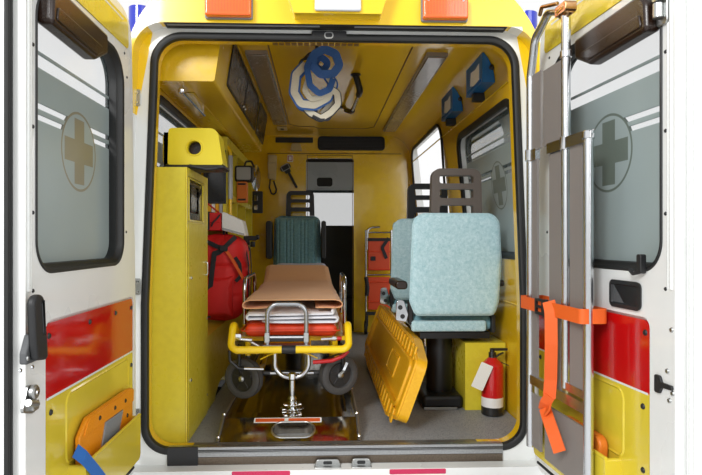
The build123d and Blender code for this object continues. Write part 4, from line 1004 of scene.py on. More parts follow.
# Doorway

opening = outline([(780, 712, 95), (780, 1300, 0), (738, 2400, 110), (-738, 2400, 110), (-780, 1300, 0),
    (-780, 712, 95)], 10)
piece("doorway_seal", [hoop(opening, [(0.3, -0.3), (-18, -0.3), (-19, -6), (-12, -10), (0, -11), (7, -7),
    (9, 0), (9, 16), (5, 22), (0.3, 22)])], "epdm_rubber")
piece("header_gutter", [plate([(-68, 2434.6, 0), (-64, 2431, 2), (-40, 2433, 0), (-36, 2430.5, 2),
    (-10, 2432, 2), (-2, 2434.6, 0)], -690, 690, sideways)], "epdm_rubber")
# grey strips under the black gutter, either side of the middle: painted sheen on the rubber; the middle stays black
piece("header_gutter_painted_sheen", [block((-680, -70), (-60, -46), (2429.8, 2432), 1, sideways),
    block((70, 680), (-60, -46), (2429.8, 2432), 1, sideways)], "grey_vinyl")
piece("top_striker", [block((-104, 40), (-10.5, -0.5), (2398, 2430), 6),
    block((-70, 6), (-11.2, -10), (2404, 2424), 8)], "black_abs", bevel=1.5)
piece("top_striker_ring", [hoop(outline(rect(-52, -14, 2398, 2426, 12)),
    [(0, -11.3), (5, -11.3), (5, -10.4), (0, -10.4)])], "zinc_plate")
slats("soffit_vents", (-258, 62, 2398.6), 14, (26.4, 0, 0), (21, 32, 1.6), "shadow_grille")
piece("threshold_plate", [plate([(58, 702.4, 0), (22, 722, 2), (-7, 723.5, 3), (-9.8, 721, 1), (-9.8, 684, 0),
    (-9.2, 684, 0), (-9.2, 719, 0), (20, 718, 0), (54, 702.1, 0)], -690, 690,
    sideways)] + [pipe([(-690, -9.6, z), (690, -9.6, z)], 1.4, 0, 6) for z in (714, 708, 702, 696, 690)],
    "mill_aluminium")
piece("threshold_rubber", [plate([(-8, 650, 2), (-0.5, 650, 0), (-0.5, 682, 0), (-8, 682, 2)], -690, 690,
    sideways)], "bronze_anodised")
heads("threshold_screws", [(x, 8, 722.4) for x in range(-640, 641, 160)], 5, 1.6, (0, 0, 1), "zinc_plate")
piece("sill_block", [block((-692, -566), (-11.4, -0.5), (648, 725), 6)], "black_abs", bevel=2)
piece("sill_strikers", [plate([(-92, 650, 2), (16, 650, 2), (6, 675, 11), (-82, 675, 11)], -32, -22),
    plate([(58, 650, 2), (140, 650, 2), (134, 677, 12), (64, 677, 12)], -32, -22),
    block((-92, 16), (-58, -22), (649, 653), 0), block((58, 140), (-58, -22), (649, 653), 0)], "zinc_plate",
    bevel=2)
piece("sill_striker_slots", [plate(rect(-56, -20, 656, 669, 5), -32.6, -31),
    plate(rect(82, 116, 656, 670, 6), -32.6, -31)], "black_abs")
piece("sill_reflectors", [block((-420, -189), (-72, -70.2), (628, 648), 4),
    block((210, 438), (-72, -70.2), (628, 648), 4)], "magenta_reflective")
for side, word in SIDE_WORD.items():
    rows = [(side * 846, z) for z in (850, 1380, 2150)]
    piece(f"{word}_hinge_leaves", [block(tuple(sorted((side * 800, side * 850))), (-6, -0.4), (z - 34, z + 34),
        8) for _, z in rows], "zinc_plate", bevel=1.5)
    heads(f"{word}_hinge_screws", [(side * (x), -6, z + dz) for _, z in rows for x in (812, 836)
        for dz in (-20, 20)], 6, 3, (0, -1, 0), "chrome_plate")
heads("amber_lamp_screws", [(x, -112, 2520) for x in (-500, -360, 360, 500)], 5, 2, (0, -1, 0), "zinc_plate")
heads("work_lamp_screws", [(x, -158, 2532) for x in (-72, 72)], 5, 2, (0, -1, 0), "zinc_plate")
slats("work_lamp_ribs", (-70, -158.5, 2502), 15, (10, 0, 0), (3, 2, 70), "clear_acrylic")
for x in (-430, 430):
    slats(f"amber_lamp_ribs_{x + 1000}", (x - 72, -112.5, 2496), 13, (12, 0, 0), (4, 2, 62), "amber_acrylic")
    piece(f"amber_lamp_base_{x + 1000}", [block((x - 94, x + 94), (-84, -70.2), (2446, 2545), 8)], "grey_vinyl",
        bevel=1)

# The room's walls, lockers and fittings

def lining(side):
    """Places an outline of length and height on a side wall's lining, its thickness towards the middle."""
    return lambda a, b, t: Vector((
        side * (1000 * WALL_X - WALL_LEAN * max(0, b - 1000 * WALL_BEND) - t), a, b))


def locker_face(a, b, t):
    """Places an outline of length and height on the overhead locker's leaning face."""
    return Vector((-523 + 0.1523 * (b - 2252) + t, a, b))


SIDE_WINDOW = rect(200, 1190, 1500, 2205, 80)
for side, word in SIDE_WORD.items():
    piece(f"{word}_side_window_seal", [hoop(outline(SIDE_WINDOW, 8), [(-24, 0.3), (-22, 8), (-12, 12), (4, 12),
        (13, 6), (13, -8), (0.3, -8)], lining(side))], "epdm_rubber")
    piece(f"{word}_side_window_rubber", [hoop(outline(SIDE_WINDOW, 8), [(-22, -64), (-22, -72), (-8, -76),
        (8, -73), (10, -60)], lining(side))], "epdm_rubber")
    piece(f"{word}_wall_trim", [pipe([lining(side)(112, 1255, 2), lining(side)(1560, 1255, 2)], 4, 0, 8),
        pipe([lining(side)(112, 2290, 2), lining(side)(2960, 2290, 2)], 5, 0, 8)], "yellow_gelcoat")
piece("sliding_doorway_seal", [hoop(outline([(1610, 724, 60), (2870, 724, 60), (2870, 2395, 130),
    (1610, 2395, 130)], 8), [(-14, 0.3), (-13, 10), (0, 15), (10, 9), (12, 0.3)], lining(1))], "epdm_rubber")
for start, end in ((380, 930), (945, 1500), (1580, 2060)):
    pane = outline(rect(start, end, 2310, 2515, 10), 4)
    piece(f"locker_pane_{start}", [slab(pane, 0.4, 5, locker_face)], "smoked_acrylic", bevel=1.5)
    piece(f"locker_pane_edge_{start}", [hoop(pane, [(-4, 0.3), (-4, 7), (5, 7), (5, 5.2)], locker_face)],
        "black_abs")
heads("locker_pane_knobs", [locker_face(s, 2330, 6) for s in (905, 970, 1610)], 9, 8, (1, 0, 0), "zinc_plate")
piece("locker_lamp_strip", [block((-690, -650), (300, 2050), (2249, 2252), 2)], "yellow_gelcoat", bevel=1)
piece("locker_rod", [pipe([(-675, 160, 2224), (-675, 655, 2224)], 6.5, 0),
    pipe([(-675, 190, 2252), (-675, 190, 2224)], 5, 0, 8), pipe([(-675, 620, 2252), (-675, 620, 2224)], 5, 0,
    8)], "chrome_plate")
piece("locker_rod_ball", [spin([(4, -14), (12, -9), (15, 0), (12, 9), (4, 14)], (-675, 160, 2224), "y", 18)],
    "chrome_plate")
piece("tall_cabinet_door", [plate(rect(112, 516, 722, 1640, 6), -634.7, -632, sideways)], "yellow_laminate",
    bevel=1)
piece("tall_cabinet_fittings", [spin([(9, 0), (9, 4), (6, 5)], (-632, 149, 1404), "x", 16),
    spin([(4, 5), (4, 8)], (-632, 149, 1404), "x", 8), pipe([(-632, 460, 1400), (-620, 460, 1400),
    (-620, 460, 1462), (-632, 460, 1462)], 4, 8), spin([(9, 0), (9, 4), (6, 5)], (-632, 149, 960), "x", 16)],
    "chrome_plate")
heads("tall_cabinet_hinges", [(-631, 505, z) for z in (800, 1180, 1560)], 7, 3, (1, 0, 0), "zinc_plate")
piece("cabinet_edge_strips", [block((-640, -633.5), (86, 93), (704, 1879), 1),
    block((-640, -633.5), (527, 533), (1090, 1879), 1)], "lining_yellow", bevel=1)
piece("niche_set", [block((-742, -641), (128, 432), (1654, 1836), 14), block((-643, -634), (148, 300),
    (1690, 1810), 10)], "mottled_chrome", bevel=4)
piece("niche_set_frame", [hoop(outline(rect(124, 434, 1650, 1842, 8)), [(0, -640), (0, -632), (9, -632),
    (9, -640)], sideways)], "lining_yellow")
piece("niche_set_loop", [pipe([(-650, 170, 1838), (-640, 190, 1780), (-638, 300, 1758), (-640, 400, 1796),
    (-650, 420, 1838)], 6, 30, 10)], "black_abs")
piece("suction_port_ring", [hoop(outline(rect(-652, -586, 1941, 2007, 32), 8),
    [(-4, 160), (-3, 156), (2, 155), (4, 160), (4, 172), (0, 172)])], "lemon_polyethylene")
piece("suction_port_cap", [block((-650, -588), (200, 206), (1943, 2005), 30)], "brown_abs")
piece("suction_case_seam", [pipe([(-728, 224, 1905), (-728, 224, 2058), (-530, 224, 2058), (-500, 224, 1905)],
    2.4, 20, 6)], "lemon_polyethylene")
piece("suction_case_side", [block((-768, -733), (205, 285), (1902, 2048), 24)], "lining_yellow", bevel=8)
piece("suction_case_tray", [block((-752, -486), (148, 306), (1884, 1897), 16, level),
    pipe([(-640, 150, 1893), (-560, 140, 1878), (-520, 150, 1884), (-490, 190, 1893)], 8, 20)], "black_abs",
    bevel=3)
# a bent pole on the left-hand wall, gripped by a pale sleeve
POLE = [(-860, 1330, 2190), (-645, 1330, 2190), (-645, 1330, 1540), (-860, 1330, 1540)]
piece("wall_pole", [pipe(POLE, 11, 70)], "yellow_powder_coat")
piece("wall_pole_sleeve", [pipe([(-645, 1330, 1832), (-645, 1330, 2112)], 15.5, 0, 16)], "pale_grey_abs")
piece("wall_pole_feet", [spin([(26, 0), (26, 5), (16, 12)], (-866, 1330, z), "x") for z in (2190, 1540)],
    "zinc_plate")
piece("wall_screen", [block((-800, -668), (1286, 1316), (1800, 2134), 10),
    block((-806, -790), (1276, 1290), (1790, 2140), 4), block((-676, -664), (1276, 1290), (1790, 2140), 4)],
    "black_abs", bevel=3)
piece("wall_screen_face", [block((-786, -682), (1283, 1286), (1815, 2120), 6)], "black_powder_coat", bevel=1)
for index, (x, tone) in enumerate(((-790, "blue_abs"), (-766, "yellow_polyethylene"), (-742, "white_paper"),
                                   (-718, "yellow_polyethylene"), (-694, "pale_grey_abs"),
                                   (-672, "yellow_laminate"))):
    piece(f"wall_folder_{index}", [block((x - 10, x + 10), (1262, 1296), (1700, 1798), 2)], tone, bevel=1.5)
piece("red_case", [block((-806, -646), (990, 1290), (1626, 1730), 14), block((-800, -652), (984, 990),
    (1672, 1680), 3)], "red_nylon", bevel=10)
piece("red_case_strap", [strap([(-722, 982, 1628), (-722, 980, 1734), (-722, 1150, 1736)], 24, 3, 10,
    (0, -1, 0)), pipe([(-700, 982, 1650), (-690, 970, 1670), (-660, 970, 1700), (-652, 986, 1716)], 5, 12, 8)],
    "dark_webbing")
piece("red_cable_tie", [pipe([(-790, 940, 1880), (-740, 946, 1800), (-650, 1010, 1720)], 5, 40, 8)],
    "red_powder_coat")
piece("booklet", [moved(plate([(-640, 1625, 4), (-500, 1590, 6), (-520, 1680, 8), (-640, 1735, 8)], 985, 1120),
    Matrix.Translation((0, 0, 2)))], "white_paper", bevel=3)
piece("booklet_pages", [plate([(-636, 1631, 3), (-508, 1599, 3), (-510, 1607, 3), (-636, 1643, 3)], 980, 1126)],
    "pale_grey_abs", bevel=1)
piece("monitor_shell", [block((-672, -548), (1704, 1790), (1984, 2098), 14)], "black_abs", bevel=6)
piece("monitor_face", [block((-660, -560), (1698, 1706), (1998, 2086), 10)], "pale_grey_abs", bevel=3)
piece("monitor_arm", [pipe([(-610, 1760, 1990), (-610, 1760, 1940), (-700, 1800, 1940)], 10, 16),
    pipe([(-610, 1745, 2096), (-600, 1745, 2130), (-560, 1745, 2136), (-540, 1745, 2090)], 7, 14)], "black_abs")
piece("orange_battery", [block((-658, -586), (1700, 1770), (1836, 1984), 8)], "orange_abs", bevel=4)
piece("orange_battery_clip", [block((-650, -594), (1694, 1702), (1850, 1862), 4),
    block((-650, -594), (1694, 1702), (1960, 1972), 4)], "black_abs", bevel=2)
piece("oval_mirror", [moved(spin([(2, 0), (64, 0), (68, 4), (64, 8), (2, 9)], (0, 0, 0), "x", 28),
    Matrix.Translation((-560, 2010, 2044)) @ Matrix.Rotation(radians(-58), 4,
    "Z") @ Matrix.Diagonal((1, 0.62, 1.5, 1)))], "chrome_plate")
piece("oval_mirror_stem", [pipe([(-566, 2014, 2044), (-600, 2040, 2044), (-660, 2060, 2044)], 7, 20)], "black_abs")
piece("wall_gauge_panel", [block((-650, -560), (2560, 2575), (1800, 1990), 10),
    block((-640, -600), (2552, 2562), (1900, 1960), 6), block((-640, -600), (2552, 2562), (1822, 1878), 6)],
    "black_abs", bevel=3)
piece("wall_gauge_faces", [block((-634, -606), (2549, 2553), (1906, 1954), 4),
    block((-634, -606), (2549, 2553), (1828, 1872), 4)], "mottled_chrome", bevel=1)
piece("set_valves", [block((-612, -520), (1710, 1760), (1566, 1600), 10),
    spin([(16, -26), (20, -20), (20, 20), (16, 26)], (-590, 1730, 1560), "z"),
    spin([(14, -20), (17, -16), (17, 16), (14, 20)], (-548, 1726, 1540), "z"),
    spin([(10, 0), (18, 8), (18, 22), (10, 28)], (-530, 1730, 1590), "x"),
    pipe([(-600, 1730, 1560), (-570, 1700, 1500), (-600, 1690, 1470), (-632, 1720, 1490)], 8, 20)], "black_abs",
    bevel=2)

# Bulkhead and ceiling: drawn just behind the bulkhead's rear face
piece("handset", [plate([(-552, 2140, 16), (-480, 2128, 16), (-470, 2366, 18), (-556, 2366, 18)], 2958, 2998),
    block((-546, -484), (2946, 2962), (2290, 2350), 12),
    block((-540, -492), (2948, 2962), (2146, 2190), 10)], "beige_abs", bevel=5)
piece("handset_loop", [pipe([(-532, 2980, 2140), (-540, 2970, 2060), (-520, 2966, 2000), (-486, 2966, 1990),
    (-474, 2970, 2040), (-500, 2980, 2120)], 7, 26, 10)], "black_abs")
piece("wall_sign", [block((-374, -321), (2993, 2999), (2303, 2367), 4)], "white_paper", bevel=1)
piece("wall_sign_mark", [hoop(outline(rect(-368, -327, 2310, 2360, 3)), [(0, 2992), (6, 2992), (6, 2993),
    (0, 2993)])], "red_acrylic")
hammer = Matrix.Translation((-355, 2985, 2190)) @ Matrix.Rotation(radians(-28), 4, "Y")
piece("wall_hammer", [moved(shape, hammer) for shape in (block((-58, 46), (-14, 8), (46, 88), 14),
    block((-30, 26), (-18, 6), (10, 52), 10), block((-12, 12), (-12, 4), (-150, 20), 8))], "black_abs", bevel=4)
piece("wall_hammer_clip", [moved(hoop(outline(rect(-44, 34, 40, 94, 12)),
    [(0, -16), (0, -20), (6, -20), (6, -16)]), hammer)], "pale_grey_abs")
piece("bulkhead_slot", [block((-485, -133), (2991, 2998.5), (2482, 2532), 6)], "black_abs", bevel=2)
GRILLE = outline(rect(-90, 543, 2412, 2545, 34), 6)
piece("bulkhead_grille_frame", [hoop(GRILLE, [(0, 2999), (2, 2986), (12, 2984), (18, 2990), (18, 2999)])],
    "black_abs")
slats("bulkhead_grille_slats", (226, 2991, 2426), 9, (0, 0, 13.2), (604, 6, 5), "black_abs")
piece("bulkhead_grille_back", [slab(GRILLE, 2996, 2998.6)], "black_powder_coat")
piece("bulkhead_lamp", [plate([(-345, 2400, 8), (-235, 2400, 8), (-252, 2472, 10), (-330, 2472, 10)], 2958,
    2998)], "beige_abs", bevel=6)
piece("bulkhead_seams", [pipe([(-560, 2998, 2382), (700, 2998, 2382)], 3.4, 0, 8),
    pipe([(-186, 2998, 2366), (237, 2998, 2366)], 2.4, 0, 6), pipe([(-186, 2998, 770), (-186, 2998, 2366)], 2.4,
    0, 6), pipe([(237, 2998, 770), (237, 2998, 2366)], 2.4, 0, 6)], "shadow_grille")
piece("cab_mirror", [block((-100, 60), (3480, 3510), (2120, 2210), 24)], "black_abs", bevel=6)
piece("ceiling_switch", [block((-440, -356), (2560, 2700), (2537, 2548), 8, level)], "beige_abs", bevel=3)
piece("ceiling_switch_key", [block((-412, -384), (2600, 2650), (2532, 2538), 4, level)], "black_abs", bevel=1)
piece("ceiling_panel_beads", [pipe([(-330, 190, 2549), (-330, 2470, 2549), (-250, 2560, 2549),
    (-130, 2560, 2549), (-80, 2640, 2549), (330, 2640, 2549), (400, 2560, 2549), (400, 190, 2549)], 4, 50, 8)],
    "shadow_grille")
piece("strip_lamps", [block((-448, -349), (612, 2388), (2524, 2531), 4, level),
    block((495, 591), (612, 2648), (2524, 2531), 4, level)], "strip_lens", bevel=3)
piece("strip_lamp_edges", [pipe(rect(-452, -345, 606, 2394, 2534), 5, 10, 8, True),
    pipe(rect(491, 595, 606, 2654, 2534), 5, 10, 8, True)], "brushed_aluminium")
piece("grab_handle_grips", [pipe([(140, 1000, 2546), (168, 1000, 2452), (166, 1090, 2450)], 19, 26),
    pipe([(152, 1500, 2450), (150, 1560, 2451), (118, 1725, 2500)], 17, 26),
    spin([(30, 0), (30, 5), (22, 9)], (141, 1000, 2540), "z"), spin([(26, 0), (26, 5), (20, 9)],
    (99, 1826, 2540), "z")], "black_abs")
# the blue dispensers: round knob on the rear face, torn blank label on the face towards the middle
for start in (380, 1000):
    end = start + 300
    piece(f"dispenser_knob_{start}", [spin([(13, 0), (13, -9), (9, -12)], (762, start, 2406), "y", 18)], "black_abs")
    piece(f"dispenser_label_{start}", [plate([(start + 50, 2362, 3), (start + 150, 2355, 1),
        (start + 220, 2372, 1), (start + 205, 2438, 3), (start + 120, 2430, 1), (start + 52, 2442, 3)], 715.6,
        714.6, sideways)], "white_paper")
    piece(f"dispenser_lip_{start}", [hoop(outline([(start + 24, 2346, 6), (end - 24, 2346, 6),
        (end - 24, 2354, 3), (start + 24, 2354, 3)], 3), [(0, 716), (0, 712), (2, 712), (2, 716)], sideways)],
        "blue_abs")
    piece(f"dispenser_bracket_{start}", [block((724, 800), (start + 190, start + 226), (2290, 2334), 8)],
        "black_abs", bevel=3)

# the spine board's moulded ribs, drawn on its own leaning face
BOARD = VAN @ Matrix.Translation((250, 0, 717)) @ Matrix.Rotation(radians(20), 4, "Y")
ribs = [slab(outline([(s, low, 3), (s + 44, low, 3), (s + 66, high, 3), (s + 22, high, 3)], 2), -9, 0.5,
    sideways) for low, high in ((322, 384), (20, 82)) for s in range(230, 1800, 88)]
piece("board_gussets", ribs, "yellow_polyethylene", space=BOARD, bevel=3)
piece("board_rims", [hoop(outline(rect(260, 1830, 95, 305, 40), 5), [(-14, 0.5), (-11, -9), (-3, -11), (1, -9),
    (1, 8)], sideways), hoop(outline([(158, 66, 40), (420, 7, 60), (1500, 7, 60), (1932, 66, 60),
    (1932, 392, 60), (1500, 421, 60), (420, 392, 60), (158, 334, 40)], 5), [(0, 2), (2, -7), (8, -9),
    (12, 0.5)], sideways)], "yellow_polyethylene", space=BOARD)
piece("board_blank_plate", [hoop(outline(rect(620, 900, 140, 262, 12), 4), [(0, 14), (1, 8), (8, 8), (10, 14)],
    sideways), slab(outline(rect(640, 880, 160, 242, 8), 4), 9, 14.5, sideways)], "yellow_polyethylene",
    space=BOARD)

# the near passenger seat's levers and pedestal details, and the head seat's side pads
piece("seat_recliner_plates", [plate([(x - 293, 1160, 12), (x - 236, 1150, 10), (x - 226, 1190, 12),
    (x - 248, 1262, 16), (x - 286, 1268, 18)], s, s + 10) for x, s in ((608, 540), (608, 1300))],
    "chrome_plate", bevel=2.5)
piece("seat_recliner_holes", [spin([(12, -2), (12, 0)], (x, s, z), "y", 16) for s in (540, 1300)
    for x, z in ((340, 1226), (352, 1180))], "black_abs")
piece("seat_recliner_covers", [block((383, 404), (s, s + 60), (1140, 1252), 8)
    for s in (530, 1290)] + [block((806, 826), (s, s + 200), (1096, 1190), 8) for s in (520, 1280)],
    "black_abs", bevel=4)
piece("seat_armrests", [block((310, 370), (486, 776), (1322, 1364), 16)], "brown_abs", bevel=7)
piece("seat_side_knobs", [spin([(11, 0), (16, 4), (16, 22), (11, 26)], (838, s, 1350), "x", 18)
    for s in (512, 1272)], "black_abs")
piece("seat_dampers", [pipe([(478, s, 1018), (478, s, 1092)], 7, 0) for s in (600, 1360)], "chrome_plate")
piece("pedestal_plates", [block((462, 632), (s, s + 5), (702, 716), 2) for s in (534, 1294)], "zinc_plate", bevel=1)
piece("head_seat_side_pads", [block((-552, -500), (2740, 2880), (1400, 1742), 24),
    block((-58, -14), (2740, 2880), (1400, 1742), 20)], "black_abs", bevel=8)

# stretcher: grip band, handle foot, catches, release bars, castor hubs and the floor lock
X0 = STRETCHER_X
piece("stretcher_grip_band", [spin([(18, -32), (19, -30), (19, 30), (18, 32)], (X0 - 5, 262, 1068), "x")],
    "black_abs")
piece("stretcher_handle_foot", [block((-330, -118), (284, 312), (1100, 1128), 8)], "black_abs", bevel=3)
piece("stretcher_handle_clips", [block((x - 12, x + 12), (276, 316), (1096, 1142), 5)
    for x in (X0 - 106, X0 + 74)], "zinc_plate", bevel=2)
piece("stretcher_foot_strip", [block((-322, -126), (281, 284), (1118, 1126), 2)], "chrome_plate")
piece("stretcher_catches", [pipe([(-462, 318, 1112), (-440, 310, 1108), (-384, 306, 1104)], 9, 8),
    block((-468, -436), (310, 336), (1104, 1132), 6), pipe([(-64, 306, 1106), (8, 306, 1110)], 8, 0),
    spin([(13, -8), (13, 8)], (-4, 306, 1110), "x", 16),
    pipe([(-400, 330, 1096), (-352, 330, 1070), (-330, 330, 1040)], 6, 16)], "chrome_plate", bevel=1)
piece("stretcher_stays", [strap([(-346, 330, 1012), (-300, 318, 1036), (-250, 300, 1052)], 26, 5, 10,
    (0, 0, 1)), strap([(-84, 330, 1016), (-124, 318, 1036), (-164, 300, 1052)], 26, 5, 10, (0, 0, 1)),
    block((-470, -352), (330, 344), (1036, 1060), 8), block((-62, 56), (330, 344), (1036, 1060), 8)],
    "yellow_powder_coat", bevel=2)
piece("stretcher_guards", [pipe([(-488, 300, 1060), (-486, 300, 1010), (-444, 300, 974), (-420, 300, 974)], 8,
    24), pipe([(-470, 420, 1060), (-440, 420, 1040), (-400, 420, 1040)], 10, 16),
    pipe([(40, 420, 1060), (0, 420, 1040), (-20, 420, 1030)], 10, 16)], "black_powder_coat")
piece("stretcher_guard_rod", [pipe([(-424, 300, 974), (-330, 300, 971)], 6.5, 0)], "chrome_plate")
piece("red_release_bar", [pipe([(-102, 300, 1001), (-14, 300, 1008), (36, 302, 1028), (62, 306, 1052)], 9.5,
    40)], "red_powder_coat")
piece("red_catch_ends", [spin([(9, 0), (10, 3), (9, 22)], (10, 306, 1110), "x", 14)], "red_powder_coat")
castors = {"left": (X0 - 226.5, 396, 908, 66), "right": (X0 + 226.5, 396, 922, -66)}
for word, (x, s, z, turn) in castors.items():
    wheel = VAN @ Matrix.Translation((x, s, z)) @ Matrix.Rotation(radians(turn), 4, "Z")
    for face in (-1, 1):
        tag = f"{word}_{'inner' if face < 0 else 'outer'}"
        turned = wheel @ Matrix.Diagonal((face, 1, 1, 1))
        piece(f"castor_tyre_{tag}", [spin([(60, 21.5), (64, 24), (84, 24), (92, 20.5), (96, 12), (96.5, 0)],
            (0, 0, 0), "x", 48)], "tyre_grey", space=turned)
        piece(f"castor_rim_{tag}", [spin([(20, 20.2), (52, 20.2), (56, 23), (60, 25), (62, 22)], (0, 0, 0), "x",
            40)], "black_abs", space=turned)
        piece(f"castor_spokes_{tag}", [moved(block((19.8, 24), (-7, 7), (14, 54), 5, sideways),
            Matrix.Rotation(2 * pi * k / 5, 4, "X")) for k in range(5)], "black_abs", space=turned, bevel=1.5)
        piece(f"castor_hub_{tag}", [spin([(14, 20), (14, 28), (9, 32), (4, 33)], (0, 0, 0), "x", 18)],
            "zinc_plate", space=turned)
piece("castor_forks", [pipe([(X0 - 226, 396, 908), (X0 - 250, 372, 960), (X0 - 244, 380, 1070)], 9, 20),
    pipe([(X0 + 226, 396, 922), (X0 + 250, 372, 970), (X0 + 240, 380, 1070)], 9, 20)], "black_powder_coat")
piece("castor_brake", [strap([(X0 + 232, 360, 926), (X0 + 250, 350, 950), (X0 + 266, 340, 990)], 12, 4, 10,
    (0, -1, 0))], "chrome_plate")
LOCK = (X0 + 5, 380)
teeth = [(58 if k % 2 else 40) for k in range(28)]
star = [Vector((LOCK[0] + r * cos(2 * pi * k / 28), LOCK[1] + r * sin(2 * pi * k / 28))) for k, r in enumerate(teeth)]
piece("floor_lock_flower", [slab(star, 764, 770, level),
    slab([Vector((LOCK[0] + (p.x - LOCK[0]) * 0.78, LOCK[1] + (p.y - LOCK[1]) * 0.78)) for p in star], 784, 789,
    level), spin([(14.5, 735), (34, 748), (40, 763), (20, 772), (30, 784), (18, 792), (22, 812), (14.5, 826)],
    (*LOCK, 0), "z", 20), spin([(14.5, 900), (20, 906), (20, 930), (14, 936)], (*LOCK, 0), "z", 20)],
    "chrome_plate", bevel=0.6)


def ramp(a, b, t):
    """Places an outline on the loading tray's sloping front."""
    return Vector((a, b, 701.2 + (b - 82) * 0.3631 + t))


piece("tray_label_border", [slab(outline(rect(-367, -62, 214, 246, 3), 2), 0.2, 0.9, ramp)], "white_paper")
piece("tray_label", [slab(outline(rect(-360, -230, 219, 241, 1), 2), 0.9, 1.3, ramp),
    slab(outline(rect(-212, -69, 219, 241, 1), 2), 0.9, 1.3, ramp)], "blank_orange_label")
SLOT = outline(rect(X0 - 72, X0 + 112, 122, 216, 46), 8)
piece("tray_slot_rim", [hoop(SLOT, [(-7, 0.3), (-5, 3), (0, 3.6), (1, 2), (1, -3)], ramp)], "zinc_plate")
piece("tray_side_rails", [pipe([(x, 84, 708), (x, 250, 768), (x, 2250, 768)], 6, 30, 10)
    for x in (X0 - 299, X0 + 307)], "mill_aluminium")
heads("tray_bolts", [(x, s, z) for x in (X0 - 299, X0 + 307) for s,
    z in ((110, 722), (262, 774), (700, 774), (1400, 774))], 9, 6, (0, 0, 1), "chrome_plate")
piece("tray_lip", [plate([(78, 701, 0), (92, 701, 0), (92, 707, 2), (78, 703, 1)], X0 - 292, X0 + 300,
    sideways)], "mill_aluminium")

# stair chair: bent push handle, belts and frame clips
piece("stair_chair_handle", [pipe([(366, 2870, 1480), (366, 2866, 1684), (480, 2866, 1690)], 11, 50)],
    "chrome_plate")
piece("stair_chair_belts", [block((370, 575), (2842, 2850), (1560, 1588), 4),
    strap([(560, 2846, 1588), (500, 2840, 1500), (540, 2842, 1400)], 30, 3, 30, (0, -1, 0)),
    block((396, 440), (2838, 2850), (1380, 1420), 6), pipe([(352, 2850, 1230), (366, 2836, 1140),
    (360, 2842, 1060)], 18, 30)], "dark_webbing", bevel=1)
piece("stair_chair_cover_folds", [block((366, 578), (2841, 2849), (z, z + 8), 3)
    for z in (1000, 1180, 1296, 1460)], "orange_vinyl", bevel=3)
piece("stair_chair_footrest", [block((350, 600), (2846, 2862), (880, 912), 6),
    block((350, 372), (2840, 2866), (780, 880), 6)], "black_abs", bevel=3)
# extinguisher: squeeze lever, gauge and hanging blank card
piece("extinguisher_levers", [strap([(790, 462, 972), (820, 462, 996), (846, 462, 1008)], 22, 4, 12, (0, 0, 1)),
    strap([(790, 462, 968), (830, 462, 962), (870, 462, 944)], 20, 4, 12, (0, 0, 1))], "black_abs", bevel=1)
piece("extinguisher_gauge", [spin([(13, -4), (15, 0), (15, 9), (11, 11)], (782, 446, 966), "y", 18),
    spin([(21, 935), (24, 941), (24, 950), (19, 956)], (790, 462, 0), "z", 20)], "zinc_plate")
piece("extinguisher_card", [moved(block((-36, 26), (398, 400), (-130, 0), 5),
    Matrix.Translation((752, 0, 962)) @ Matrix.Rotation(radians(24), 4, "Y"))], "white_paper", bevel=0.5)

# Soft goods

def pad(low, high, radius, crown, pull=4.0, cell=12.0):
    """A crowned closed pad between two corners: its broad faces swell and its edges draw in between the corners."""
    low, high = Vector(low), Vector(high)
    middle, half = (low + high) / 2, (high - low) / 2
    thin = min(range(3), key=lambda k: half[k])
    wide, deep = [k for k in range(3) if k != thin]
    verts, faces = [], []
    for axis in range(3):
        i, j = [k for k in range(3) if k != axis]
        counts = [max(4, round(2 * half[k] / cell)) for k in (i, j)]
        for sign in (-1, 1):
            start = len(verts)
            for a in range(counts[0] + 1):
                for b in range(counts[1] + 1):
                    c = Vector((sign, sign, sign))
                    c[i], c[j] = 2 * a / counts[0] - 1, 2 * b / counts[1] - 1
                    full = Vector([c[k] * half[k] for k in range(3)])
                    core = Vector([max(radius - half[k], min(half[k] - radius, full[k])) for k in range(3)])
                    point = core + (full - core).normalized() * radius
                    point[thin] += crown * c[thin] * (1 - c[wide] ** 2) * (1 - c[deep] ** 2)
                    point[wide] -= pull * c[wide] ** 3 * (1 - c[deep] ** 2)
                    point[deep] -= pull * c[deep] ** 3 * (1 - c[wide] ** 2)
                    verts.append(middle + point)
            row = counts[1] + 1
            faces += [[start + a * row + b, start + a * row + b + 1, start + (a + 1) * row + b + 1,
                       start + (a + 1) * row + b] for a in range(counts[0]) for b in range(counts[1])]
    return verts, faces


def crowned(points, low, high, roll, crown, reach=60, place=across):
    """A closed pad on a flat outline, whose faces roll over at the edge and swell on towards the middle."""
    front = [(roll + reach * share, low + crown * (1 - share) ** 2) for share in (1, 0.5, 0.2)]
    front += [(roll * (1 - sin(t * pi / 8)), low + crown + roll * (1 - cos(t * pi / 8))) for t in range(5)]
    profile = front + [(inset, low + high - depth) for inset, depth in front[::-1]]
    verts, faces = hoop(points, profile, place)
    count = len(verts) // len(profile)
    return verts, faces[:-count] + [list(range(count)), list(range(len(verts) - count, len(verts)))]


